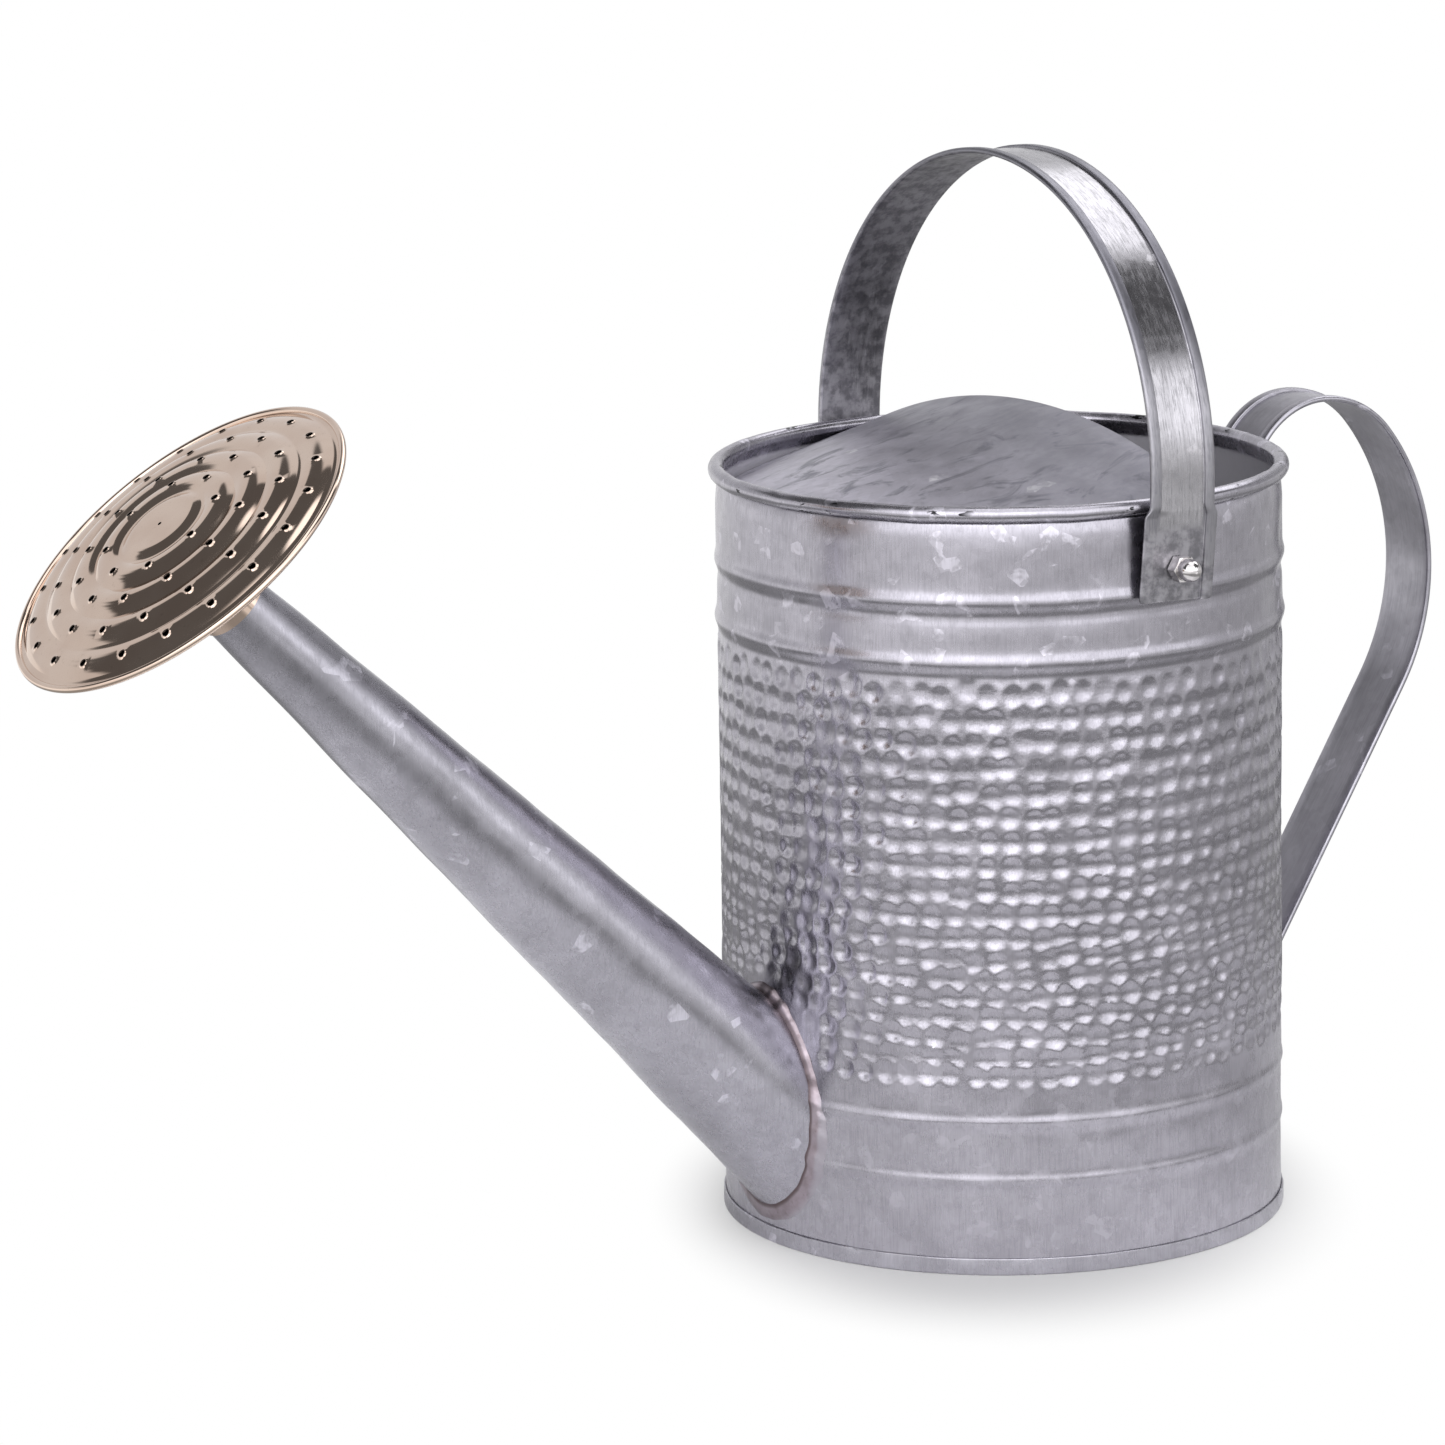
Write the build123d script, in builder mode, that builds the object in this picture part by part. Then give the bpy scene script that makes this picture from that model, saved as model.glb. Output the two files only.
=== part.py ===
"""Galvanised steel watering can with a swinging bail and a push-on rose.

A beaded wall is folded into a base pan and curled over a wire at the top. A curved hood covers the
front half of the mouth, a straight tapering spout is soldered to the front, and a strap handle is
fixed to the back. The bail swings on two bolts, and the rose pulls off the spout's tip.

Millimetres, +Z up. The origin is on the wall's axis at the floor. The spout points along -X, the
rear handle along +X, and the bail's axis runs along Y.
"""

import os
from math import asin, atan2, cos, degrees, radians, sin, sqrt, tan

from build123d import *

os.makedirs("parts", exist_ok=True)

# Sheet, strap and fits
sheet = 0.8  # wall, base, hood, spout and rose
strap_sheet = 1.0  # bail and rear handle
strap_width = 25.0
hem_width = 4.0  # folded edge of a strap
seat_gap = 0.05  # between pieces that are folded, curled or soldered together
contact_gap = 0.1  # between a piece and the round edge or bead that it rests on
running_gap = 0.3  # between pieces that move past each other
pivot_clearance = 0.08  # radial, bail foot on its bolt
taper_clearance = 0.12  # radial, rose socket on the spout

# Wall, rim and base
can_radius = 95.0  # outside of the plain wall
can_height = 257.0  # floor to the top of the rim
bead_width = 8.0
bead_proud = 0.8
lower_beads = (31.6, 51.4)  # heights above the floor
upper_beads = (52.0, 31.9)  # depths below the top of the rim
wire_radius = 1.85  # wire inside the rim
seam_height = 5.6  # folded base seam, outside the wall
base_recess = 6.0  # floor to the top of the base disc
panel_margin = 22.0  # wall to the foot of the base disc's raised panel
panel_slope = 4.0
panel_rise = 2.0

# Hood: part of a cylinder that rises towards its rear edge
hood_rear = 16.0  # X of the rear edge
hood_rise = 16.7  # top of the rear edge above the rim
hood_slope = 13.5  # degrees
hood_end_rise = 1.32  # top of the rear edge's ends above the rim
hood_skirt = 7.0  # depth of the turned-down edge

# Spout: a cone cut to the wall
spout_foot = 11.3  # lowest point of the spout on the wall
spout_rise = 44.5  # degrees above the floor
spout_length = 283.6  # along the axis, from the wall to the tip
spout_root_radius = 26.0
spout_tip_radius = 10.6
solder_leg = 4.5

# Rose: its own axis stands steeper than the spout's
rose_rise = 52.0  # degrees above the floor
rose_reach = 14.4  # spout tip to the plane of the rose's rim, along the rose's axis
rose_radius = 62.8
rose_edge_radius = 1.2
rose_flange = 3.6  # flat outer band of the face
ripple_count = 4
ripple_step = 2.25  # each ripple stands this much higher than the next one out
ripple_bulge = 1.3
boss_radius = 12.0
boss_edge = 15.7  # foot of the boss
boss_rise = 1.4
first_row_holes = 8
added_row_holes = 4  # each row has this many more than the one inside it
hole_radius = 0.7
nub_radius = 1.5
nub_height = 0.8
back_depth = 12.4
socket_length = 13.0  # spout covered by the rose's socket

# Bail and its pivots
pivot_x = 3.9
pivot_drop = 23.0  # top of the rim to the pivots
bail_lean = 1.8  # degrees towards the rear handle
bail_standoff = 4.8  # wall to the inner face of a leg
bail_spring = 24.7  # pivot to the start of the bow
foot_drop = 11.0  # pivot to the end of a foot
foot_bend = 19.0  # pivot to the bend above a foot
foot_width = 28.0
foot_corner = 1.0
bolt_radius = 2.5
bolt_head_radius = 4.6
bolt_head_height = 3.0
washer_radius = 6.5
washer_thickness = 1.2
spacer_radius = 3.3
spacer_length = 2.7
nut_across_flats = 8.0
nut_hex_height = 4.0
nut_chamfer = 30.0  # degrees, on the hexagon's outer corners
nut_height = 10.0
dome_radius = 3.75

# Rear handle: arcs that follow each other from the upper tab to the lower one
handle_tab_length = 33.6
handle_tab_drop = 21.4  # top of the rim to where the strap leaves the wall
shoulder_radius = 29.8
crown_radius = 36.0
crown_sweep = 50.0  # degrees
back_radius = 78.6
handle_foot = 58.7  # height at which the straight run would meet the lower tab
handle_foot_radius = 25.0
handle_foot_length = 22.0
handle_corner = 3.0  # rounded corners of the tabs

# Wall sizes that follow from the ones above
wall_inside = can_radius - sheet
wall_bottom = sheet + seat_gap
bead_heights = (*lower_beads, *(can_height - depth for depth in upper_beads))
bead_crest = can_radius + bead_proud
rim_roll_radius = wire_radius + seat_gap + sheet
rim_centre_height = can_height - rim_roll_radius
rim_centre_radius = can_radius - sheet / 2
rim_inside = rim_centre_radius - rim_roll_radius

# Spout and rose planes
rise = radians(spout_rise)
spout_taper = (spout_root_radius - spout_tip_radius) / spout_length
underside = tan(rise + atan2(spout_taper, 1))
spout_height = spout_foot + spout_root_radius * (cos(rise) + sin(rise) * underside)
spout_axis = Vector(-cos(rise), 0, sin(rise))
spout_root = Plane(origin=(-can_radius, 0, spout_height), x_dir=(0, 1, 0), z_dir=spout_axis)
root_overlap = 1.7 * spout_root_radius  # the cone starts this far inside the wall, to be trimmed
rose_axis = Vector(-cos(radians(rose_rise)), 0, sin(radians(rose_rise)))
rose_centre = spout_root.offset(spout_length).origin + rose_axis * rose_reach
rose_plane = Plane(origin=rose_centre, x_dir=(0, 1, 0), z_dir=rose_axis)
rose_section = Plane(origin=rose_centre, x_dir=(0, 1, 0), z_dir=Vector(0, 1, 0).cross(rose_axis))
rose_spindle = Axis(rose_centre, rose_axis)

# Bail planes and pivot stack, measured outwards from the can's middle
pivot = Plane(origin=(pivot_x, 0, can_height - pivot_drop), x_dir=(1, 0, 0), z_dir=(0, -1, 0))
lean = radians(bail_lean)
bail_plane = Plane(origin=pivot.origin, x_dir=(0, 1, 0), z_dir=(cos(lean), 0, -sin(lean)))
bail_inside = can_radius + bail_standoff
washer_seat = sqrt(wall_inside**2 - (pivot_x + washer_radius) ** 2) - seat_gap
head_seat = washer_seat - washer_thickness - seat_gap
spacer_seat = can_radius + seat_gap
spacer_end = spacer_seat + spacer_length
foot_lean = (bail_inside - spacer_end - running_gap) / (foot_bend + spacer_radius)
nut_corner = nut_across_flats / sqrt(3)
nut_seat = bail_inside - foot_lean * (foot_bend - nut_corner) + strap_sheet + running_gap
bolt_end = nut_seat + nut_hex_height


def finish(piece, name):
    """Name a piece and write it."""
    piece.part.label = name
    export_step(piece.part, f"parts/{name}.step")


def beaded_line(radius, bottom, top):
    """Upright line of the wall at a radius, bulging outwards at each bead."""
    height = bottom
    for bead in bead_heights:
        below = (radius, bead - bead_width / 2)
        above = (radius, bead + bead_width / 2)
        Line((radius, height), below)
        ThreePointArc(below, (radius + bead_proud, bead), above)
        height = bead + bead_width / 2
    Line((radius, height), (radius, top))


def can_section():
    """Half section of the solid can, reaching below the floor, for trimming what is soldered to it."""
    radius = can_radius + seat_gap
    with BuildSketch(Plane.XZ) as section:
        with BuildLine():
            beaded_line(radius, -root_overlap, can_height)
            Polyline((radius, can_height), (0, can_height), (0, -root_overlap), (radius, -root_overlap))
        make_face()
    return section.sketch


def spout_cone(growth, start, end):
    """The spout's cone grown by a radius, between two distances from the wall along its axis."""
    cone = Cone(
        spout_root_radius - spout_taper * start + growth,
        spout_root_radius - spout_taper * end + growth,
        end - start,
        align=(Align.CENTER, Align.CENTER, Align.MIN),
        mode=Mode.PRIVATE,
    )
    return cone.moved(spout_root.offset(start).location)


# Wall: beaded sheet, curled over the wire, with holes for the spout and the pivot bolts
with BuildPart() as body_wall:
    with BuildSketch(Plane.XZ):
        with BuildLine():
            beaded_line(can_radius, wall_bottom, rim_centre_height)
            beaded_line(wall_inside, wall_bottom, rim_centre_height)
            Line((wall_inside, wall_bottom), (can_radius, wall_bottom))
            Line((wall_inside, rim_centre_height), (can_radius, rim_centre_height))
        make_face()
        with Locations((rim_centre_radius, rim_centre_height)):
            Circle(rim_roll_radius)
            Circle(wire_radius + seat_gap, mode=Mode.SUBTRACT)
    revolve(axis=Axis.Z)
    add(spout_cone(-sheet, -root_overlap, root_overlap), mode=Mode.SUBTRACT)
    with BuildSketch(pivot):
        Circle(bolt_radius + seat_gap)
    extrude(amount=bead_crest, both=True, mode=Mode.SUBTRACT)
finish(body_wall, "body_wall")

with BuildPart() as rim_wire:
    with BuildSketch(Plane.XZ):
        with Locations((rim_centre_radius, rim_centre_height)):
            Circle(wire_radius)
    revolve(axis=Axis.Z)
finish(rim_wire, "rim_wire")

# Base: recessed disc, turned down inside the wall and folded up round its lower edge
flange_outside = wall_inside - seat_gap
fold_inside = can_radius + seat_gap
panel_foot = can_radius - panel_margin
panel_edge = panel_foot - panel_slope
with BuildPart() as base_pan:
    with BuildSketch(Plane.XZ):
        with BuildLine():
            Polyline(
                (0, base_recess + panel_rise - sheet),
                (panel_edge, base_recess + panel_rise - sheet),
                (panel_foot, base_recess - sheet),
                (flange_outside - sheet, base_recess - sheet),
                (flange_outside - sheet, 0),
                (fold_inside + sheet, 0),
                (fold_inside + sheet, seam_height),
                (fold_inside, seam_height),
                (fold_inside, sheet),
                (flange_outside, sheet),
                (flange_outside, base_recess),
                (panel_foot, base_recess),
                (panel_edge, base_recess + panel_rise),
                (0, base_recess + panel_rise),
                close=True,
            )
        make_face()
    revolve(axis=Axis.Z)
finish(base_pan, "base_pan")

# Hood: bent sheet cut to the wall, with a skirt that stays below the rim
slope = radians(hood_slope)
hood_up = Vector(-sin(slope), 0, cos(slope))
hood_outside = wall_inside - seat_gap
rear_half_width = sqrt(hood_outside**2 - hood_rear**2)
rear_bow = (hood_rise - hood_end_rise) / cos(slope)
hood_bend_radius = (rear_half_width**2 + rear_bow**2) / (2 * rear_bow)
bend_centre = Vector(hood_rear, 0, can_height + hood_rise) - hood_up * hood_bend_radius
bend_plane = Plane(origin=bend_centre, x_dir=(0, 1, 0), z_dir=(cos(slope), 0, sin(slope)))


def bent_layer(top, bottom, radius, rear):
    """Layer of the hood's bend between two depths, cut to a radius and at a rear edge."""
    with BuildPart() as layer:
        with BuildSketch(bend_plane):
            Circle(hood_bend_radius - top)
            Circle(hood_bend_radius - bottom, mode=Mode.SUBTRACT)
        extrude(amount=2 * can_radius, both=True)
        with BuildSketch(Plane.XY.offset(can_height / 2)):
            Circle(radius)
            with Locations((rear, 0)):
                Rectangle(2 * radius, 2 * radius, align=(Align.MIN, Align.CENTER), mode=Mode.SUBTRACT)
        extrude(amount=can_height, mode=Mode.INTERSECT)
    return layer.part


hood_blank = bent_layer(0, hood_skirt, hood_outside, hood_rear)
hood_room = bent_layer(sheet, 2 * hood_skirt, hood_outside - sheet, can_radius)
with BuildPart() as hood:
    add(hood_blank)
    add(hood_room, mode=Mode.SUBTRACT)
    with BuildSketch(Plane.XY.offset(can_height - 2 * rim_roll_radius - seat_gap)):
        Circle(can_radius)
        Circle(rim_inside - contact_gap, mode=Mode.SUBTRACT)
    extrude(amount=can_height, mode=Mode.SUBTRACT)
finish(hood, "hood")

# Spout: tapering tube, cut to the beaded wall
with BuildPart() as spout:
    add(spout_cone(0, -root_overlap, spout_length))
    add(spout_cone(-sheet, -root_overlap, spout_length), mode=Mode.SUBTRACT)
    revolve(can_section(), axis=Axis.Z, mode=Mode.SUBTRACT)
finish(spout, "spout")

# Solder: bevel in the corner between the spout and the wall
with BuildPart() as spout_solder:
    with BuildSketch(Plane.XY.offset(-root_overlap)):
        Circle(can_radius)
    extrude(amount=root_overlap + can_height)
    add(spout_cone(0, -root_overlap, root_overlap))
    chamfer(spout_solder.edges(Select.NEW), length=solder_leg)
    add(spout_cone(seat_gap, -root_overlap, 2 * root_overlap), mode=Mode.SUBTRACT)
    revolve(can_section(), axis=Axis.Z, mode=Mode.SUBTRACT)
finish(spout_solder, "spout_solder")

# Rose face: rippled dome with a rolled edge, and rows of holes in raised nubs
band_start = rose_radius - rose_flange
ripple_pitch = (band_start - boss_edge) / ripple_count
boss_height = ripple_count * ripple_step + boss_rise
edge_centre = rose_radius - rose_edge_radius


def rippled_line(drop):
    """Half profile of the face from its boss to its rolled edge, lowered by a drop."""
    valleys = [
        (boss_edge + ring * ripple_pitch, (ripple_count - ring) * ripple_step - drop)
        for ring in range(ripple_count + 1)
    ]
    Polyline((0, boss_height - drop), (boss_radius, boss_height - drop), valleys[0])
    for inner, outer in zip(valleys, valleys[1:]):
        SagittaArc(inner, outer, ripple_bulge)
    Line(valleys[-1], (edge_centre, -drop))


with BuildPart() as rose_face:
    with BuildSketch(rose_section):
        with BuildLine():
            rippled_line(0)
            rippled_line(sheet)
            Line((0, boss_height), (0, boss_height - sheet))
            Line((edge_centre, 0), (edge_centre, -sheet))
        make_face()
        with Locations((edge_centre, -sheet / 2)):
            Circle(rose_edge_radius)
    revolve(axis=rose_spindle)
    for ring in range(ripple_count):
        holes = first_row_holes + ring * added_row_holes
        row_radius = boss_edge + (ring + 0.5) * ripple_pitch
        crest = (ripple_count - ring - 0.5) * ripple_step + ripple_bulge
        with BuildSketch(rose_plane.offset(crest - sheet / 2)):
            with PolarLocations(row_radius, holes):
                Circle(nub_radius)
        extrude(amount=nub_height + sheet / 2)
        with BuildSketch(rose_plane):
            with PolarLocations(row_radius, holes):
                Circle(hole_radius)
        extrude(amount=2 * boss_height, mode=Mode.SUBTRACT)
    with BuildSketch(rose_plane):
        Circle(hole_radius)
    extrude(amount=2 * boss_height, mode=Mode.SUBTRACT)
finish(rose_face, "rose_face")

# Rose socket: tapered tube on the spout's tip, cut level inside the rose
socket_start = spout_length - socket_length
socket_end = spout_length + rose_reach
socket_growth = taper_clearance + sheet
with BuildPart() as rose_socket:
    add(spout_cone(socket_growth, socket_start, socket_end))
    add(spout_cone(taper_clearance, socket_start, socket_end), mode=Mode.SUBTRACT)
    split(bisect_by=rose_plane.offset(sheet - back_depth), keep=Keep.BOTTOM)
finish(rose_socket, "rose_socket")

# Rose back: shallow cone from under the face's flat band to the socket
back_radius_out = rose_radius - 2 * rose_edge_radius - seat_gap
back_top = -sheet - seat_gap
with BuildPart() as rose_back:
    with BuildSketch(rose_section):
        with BuildLine():
            Polyline(
                (0, -back_depth),
                (spout_tip_radius, -back_depth),
                (back_radius_out - rose_flange, back_top - sheet),
                (back_radius_out, back_top - sheet),
                (back_radius_out, back_top),
                (back_radius_out - rose_flange, back_top),
                (spout_tip_radius, sheet - back_depth),
                (0, sheet - back_depth),
                close=True,
            )
        make_face()
    revolve(axis=rose_spindle)
    add(spout_cone(socket_growth + seat_gap, socket_start, socket_end), mode=Mode.SUBTRACT)
finish(rose_back, "rose_back")


def bow_band(distance):
    """Side view of one thickness of the bail's bow, at a distance outside its inner face."""
    reach = bail_inside + distance
    with BuildSketch(bail_plane) as band:
        with BuildLine():
            Line((reach, foot_bend), (reach, bail_spring))
            CenterArc((0, bail_spring), reach, 0, 180)
            Line((-reach, bail_spring), (-reach, foot_bend))
            offset(amount=strap_sheet, side=Side.RIGHT)
        make_face()
    return band.sketch


# Bail: strap bow with hemmed edges, on two feet that lean in to the wall
foot_end = bail_inside - foot_lean * (foot_bend + foot_drop)
with BuildPart() as bail:
    extrude(bow_band(0), amount=strap_width / 2, both=True)
    extrude(bow_band(strap_sheet), amount=strap_width / 2, both=True)
    extrude(bow_band(strap_sheet), amount=strap_width / 2 - hem_width, both=True, mode=Mode.SUBTRACT)
    with BuildSketch(bail_plane):
        with BuildLine():
            Polyline(
                (foot_end, -foot_drop),
                (bail_inside, foot_bend),
                (bail_inside + strap_sheet, foot_bend),
                (foot_end + strap_sheet, -foot_drop),
                close=True,
            )
        make_face()
        mirror(about=Plane.YZ)
    extrude(amount=foot_width / 2, both=True)
    foot_ends = bail.edges().filter_by(lambda edge: edge.length < 2 * strap_sheet).sort_by(Axis.Z)[:4]
    fillet(foot_ends, foot_corner)
    with BuildSketch(pivot):
        Circle(bolt_radius + pivot_clearance)
    extrude(amount=2 * bail_inside, both=True, mode=Mode.SUBTRACT)
finish(bail, "bail")

# Pivot fasteners: each is made on the near side and mirrored
with BuildPart() as pivot_bolts:
    with BuildSketch(pivot.offset(head_seat)):
        Circle(bolt_head_radius)
    extrude(amount=-bolt_head_height)
    with BuildSketch(pivot.offset(head_seat)):
        Circle(bolt_radius)
    extrude(amount=bolt_end - head_seat)
    mirror(about=Plane.XZ)
finish(pivot_bolts, "pivot_bolts")

with BuildPart() as inner_washers:
    with BuildSketch(pivot.offset(washer_seat)):
        Circle(washer_radius)
        Circle(bolt_radius + seat_gap, mode=Mode.SUBTRACT)
    extrude(amount=-washer_thickness)
    mirror(about=Plane.XZ)
finish(inner_washers, "inner_washers")

with BuildPart() as pivot_spacers:
    with BuildSketch(pivot.offset(spacer_seat)):
        Circle(spacer_radius)
        Circle(bolt_radius + seat_gap, mode=Mode.SUBTRACT)
    extrude(amount=spacer_length)
    mirror(about=Plane.XZ)
finish(pivot_spacers, "pivot_spacers")

with BuildPart() as acorn_nuts:
    with BuildSketch(pivot.offset(nut_seat)):
        RegularPolygon(nut_across_flats / 2, 6, major_radius=False)
    extrude(amount=nut_hex_height)
    with Locations(pivot.offset(nut_seat)):
        Cone(
            nut_across_flats / 2 + nut_hex_height / tan(radians(nut_chamfer)),
            nut_across_flats / 2,
            nut_hex_height,
            align=(Align.CENTER, Align.CENTER, Align.MIN),
            mode=Mode.INTERSECT,
        )
    with BuildSketch(pivot.offset(nut_seat)):
        Circle(dome_radius)
    extrude(amount=nut_height - dome_radius)
    with Locations(pivot.offset(nut_seat + nut_height - dome_radius)):
        Sphere(dome_radius)
    with BuildSketch(pivot.offset(nut_seat)):
        Circle(bolt_radius + seat_gap)
    extrude(amount=nut_hex_height + running_gap, mode=Mode.SUBTRACT)
    mirror(about=Plane.XZ)
finish(acorn_nuts, "acorn_nuts")

# Rear handle: strap from a tab under the rim, over a crown and straight down to a tab on the lower beads
tab_inside = bead_crest + contact_gap
tab_outside = tab_inside + strap_sheet
tab_top = can_height - handle_tab_drop
crown_centre = Vector(tab_inside + shoulder_radius, tab_top + shoulder_radius - crown_radius)
crown_end = Vector(sin(radians(crown_sweep)), cos(radians(crown_sweep)))
back_centre = crown_centre + crown_end * (crown_radius - back_radius)
foot_to_back = back_centre - Vector(tab_outside, handle_foot)
run_angle = degrees(asin(back_radius / foot_to_back.length) + atan2(foot_to_back.X, foot_to_back.Y))


def handle_loop():
    """Outer line of the handle between its tabs, ending where the straight run starts to bend."""
    shoulder = JernArc((tab_inside, tab_top), (0, 1), shoulder_radius, -90)
    crown = JernArc(shoulder @ 1, shoulder % 1, crown_radius, -crown_sweep)
    back = JernArc(crown @ 1, crown % 1, back_radius, crown_sweep - 90 - run_angle)
    bend_width = handle_foot_radius * (1 - cos(radians(run_angle)))
    run_length = ((back @ 1).X - tab_outside - bend_width) / sin(radians(run_angle))
    return Line(back @ 1, back @ 1 + (back % 1) * run_length)


with BuildPart() as rear_handle:
    with BuildSketch(Plane.XZ):
        with BuildLine():
            Line((tab_inside, tab_top - handle_tab_length), (tab_inside, tab_top))
            run = handle_loop()
            lower_bend = JernArc(run @ 1, run % 1, handle_foot_radius, run_angle)
            Line(lower_bend @ 1, lower_bend @ 1 + (lower_bend % 1) * handle_foot_length)
            offset(amount=strap_sheet, side=Side.RIGHT)
        make_face()
    extrude(amount=strap_width / 2, both=True)
    with BuildSketch(Plane.XZ) as hem_band:
        with BuildLine():
            handle_loop()
            offset(amount=strap_sheet, side=Side.LEFT)
        make_face()
    extrude(amount=strap_width / 2, both=True)
    extrude(hem_band.sketch, amount=strap_width / 2 - hem_width, both=True, mode=Mode.SUBTRACT)
    fillet(rear_handle.edges().filter_by(Axis.X).sort_by(Axis.Z)[:4], handle_corner)
finish(rear_handle, "rear_handle")
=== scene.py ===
"""Looks of a galvanised watering can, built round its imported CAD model.

The wall, base, hood, spout, solder, straps and rose face are modelled again with what the CAD leaves
out: hammer marks, rounded folds, lumps of solder, soft ripples and small dents. The rim's wire, the
fasteners and the back of the rose keep their CAD shapes. Sizes are in millimetres until a mesh is
made, in the CAD's frame: spout along -X, rear handle along +X, bail axis along Y, floor at Z 0.
"""

from math import asin, atan2, cos, hypot, pi, radians, sin, sqrt, tan

import bmesh
import bpy
import numpy as np
from mathutils import Matrix, Vector
from numpy.linalg import norm


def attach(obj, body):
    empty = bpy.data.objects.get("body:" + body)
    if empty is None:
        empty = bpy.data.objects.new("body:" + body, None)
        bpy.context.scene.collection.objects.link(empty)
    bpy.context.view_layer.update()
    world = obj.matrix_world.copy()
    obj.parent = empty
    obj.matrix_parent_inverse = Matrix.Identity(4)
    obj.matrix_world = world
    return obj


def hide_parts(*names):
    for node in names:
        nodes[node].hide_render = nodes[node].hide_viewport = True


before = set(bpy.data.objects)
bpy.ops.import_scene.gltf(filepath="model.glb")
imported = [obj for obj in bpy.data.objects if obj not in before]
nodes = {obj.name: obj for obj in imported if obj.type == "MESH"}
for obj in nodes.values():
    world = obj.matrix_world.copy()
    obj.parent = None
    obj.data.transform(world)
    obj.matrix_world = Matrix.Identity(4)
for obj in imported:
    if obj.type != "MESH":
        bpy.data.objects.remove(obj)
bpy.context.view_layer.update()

MM = 0.001
MERGE = 1e-6  # metres
SHARP = 38  # degrees
HALVINGS = 50

# Wall, rim and base
SHEET = 0.8
SEAT_GAP = 0.05
WALL_RADIUS = 95.0
WALL_BOTTOM = 0.85
WALL_TOP = 249.7  # the rim's curl starts here
WALL_COLUMNS = 693
# Start and step of each run of the wall's rows
WALL_RUNS = ((WALL_BOTTOM, 4.4), (23, 0.85), (36.5, 2.2), (43, 0.85), (56.5, 1.5), (62, 0.92), (199, 0.85),
             (210, 2.2), (217, 0.85), (230, 1.1), (239, 1.5), (WALL_TOP, 0))
BEADS = (31.6, 51.4, 205.0, 225.1)
LOWER_BEAD = ((4.4, 0), (3.0, 0.03), (1.7, 0.2), (0.7, 0.5), (0.1, 0.6), (-0.6, 0.5), (-1.6, 0.1),
              (-2.6, -0.12), (-4.0, -0.13), (-6.0, -0.05), (-8.5, 0))
UPPER_BEAD = ((5.0, 0), (3.8, 0.04), (2.5, 0.2), (1.2, 0.66), (0.1, 0.8), (-0.7, 0.68), (-1.9, 0.18),
              (-3.2, -0.3), (-4.8, -0.55), (-6.4, -0.33), (-8.2, -0.08), (-10, 0))
BEAD_BLUR = (-0.9, -0.45, 0, 0.45, 0.9)
DIMPLE_ROWS = (195.2, 186.9, 178.6, 170.3, 162.1, 154.1, 146.1, 137.7, 129.2,
               121.2, 113.7, 106.9, 100.1, 93.4, 86.7, 80.1, 73.6, 67.2)
DIMPLE_COLUMNS = 77
DIMPLE_RADIUS = 3.75
DIMPLE_DEPTH = 0.92
DIMPLE_SHIFT = 0.6
DIMPLE_SIZES = (0.86, 1.1)
DIMPLE_FORCES = (0.6, 1.25)
DIMPLE_FADE = 5  # beside the solder
NECK_START = 242.0
NECK_DEPTH = 0.6
# Dents are smooth noises, each with a depth, a wavelength and a seed
WALL_DENTS = ((0.1, 45, 3), (0.05, 16, 4))
DENTED_FROM = (8, 20)
DENTED_TO = (240, 248)
RIM_DENTS = ((0.1, 30, 5), (0.05, 9, 6))
RIM_DENT_HEIGHT = 254.0
ROLL_CENTRE = (94.6, 254.3)
ROLL_RADIUS = 2.7
ROLL_LEAD = ((94.22, 250.4), (94.0, 251.2), (93.6, 252.0))
ROLL_TURNS = np.radians(np.linspace(226, -68, 18))
PIVOT = (3.9, 0.0, 234.0)
BOLT_HOLE = 2.55
HOLE_SEARCH = 60.0  # at most, times a point's distance from the middle
SMUDGE = (-93.5, -16.0, 93.0)
BASE_COLUMNS = 240
BASE_LINE = ((0, 8.0), (69, 8.0), (73, 6.0), (94.15, 6.0), (94.15, 0.8), (95.05, 0.8), (95.05, 5.6),
             (95.85, 5.6), (95.85, 0), (93.35, 0), (93.35, 5.2), (73, 5.2), (69, 7.2), (0, 7.2))
BASE_ROUNDING = (2, 2, 0.05, 0.05, 0.05, 0.35, 0.38, 0.75, 0.75, 0.9, 2, 2)
SEAM_SKIN = (95.3, 95.7)
SEAM_FOOT = (0.5, 2)
SEAM_DENTS = ((0.16, 28, 8), (0.1, 9, 9))
SEAM_SINK = 0.12

# Hood
HOOD_GRID = (40, 121)
HOOD_REAR = 16.0
HOOD_TOP = 273.7
HOOD_SLOPE = radians(13.5)
HOOD_BEND = 280.0
HOOD_REACH = 91.75  # clear of the rim's curl
HOOD_TUCK = 1.75  # further out where the edge is below the curl
TUCK_HEIGHTS = (249.2, 251.2)
HOOD_SKIRT = 6.5
HOOD_FOLD = (0.5, 1.6)
HOOD_LINING = (1.2, 1.9)
HOOD_ROUND = (0.35, 0.9)
HOOD_DENTS = ((0.22, 55, 12), (0.08, 20, 13))
HOOD_CALM = (10, 6)  # along the rim and along the rear

# Spout and solder
SPOUT_GRID = (70, 128)
SPOUT_CROWDING = 1.15  # rows lie closer together at the foot
SPOUT_RISE = radians(44.5)
SPOUT_LENGTH = 283.6
SPOUT_ROOT = 26.0
SPOUT_TIP = 10.6
SPOUT_FOOT = 11.3
SPOUT_DENTS = ((0.14, 60, 21), (0.05, 22, 22))
SPOUT_CALM_FOOT = (2, 20)
SPOUT_CALM_TIP = (30, 14)
MEET_SEARCH = (-1.6, 2.2)  # in root radii
SOLDER_COLUMNS = 320
SOLDER_ROWS = 9
SOLDER_LEG = 4.4
SOLDER_SHARP = 70
LUMP_WAVE = (26, 31)
RIPPLE_WAVE = (7, 32)

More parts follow.
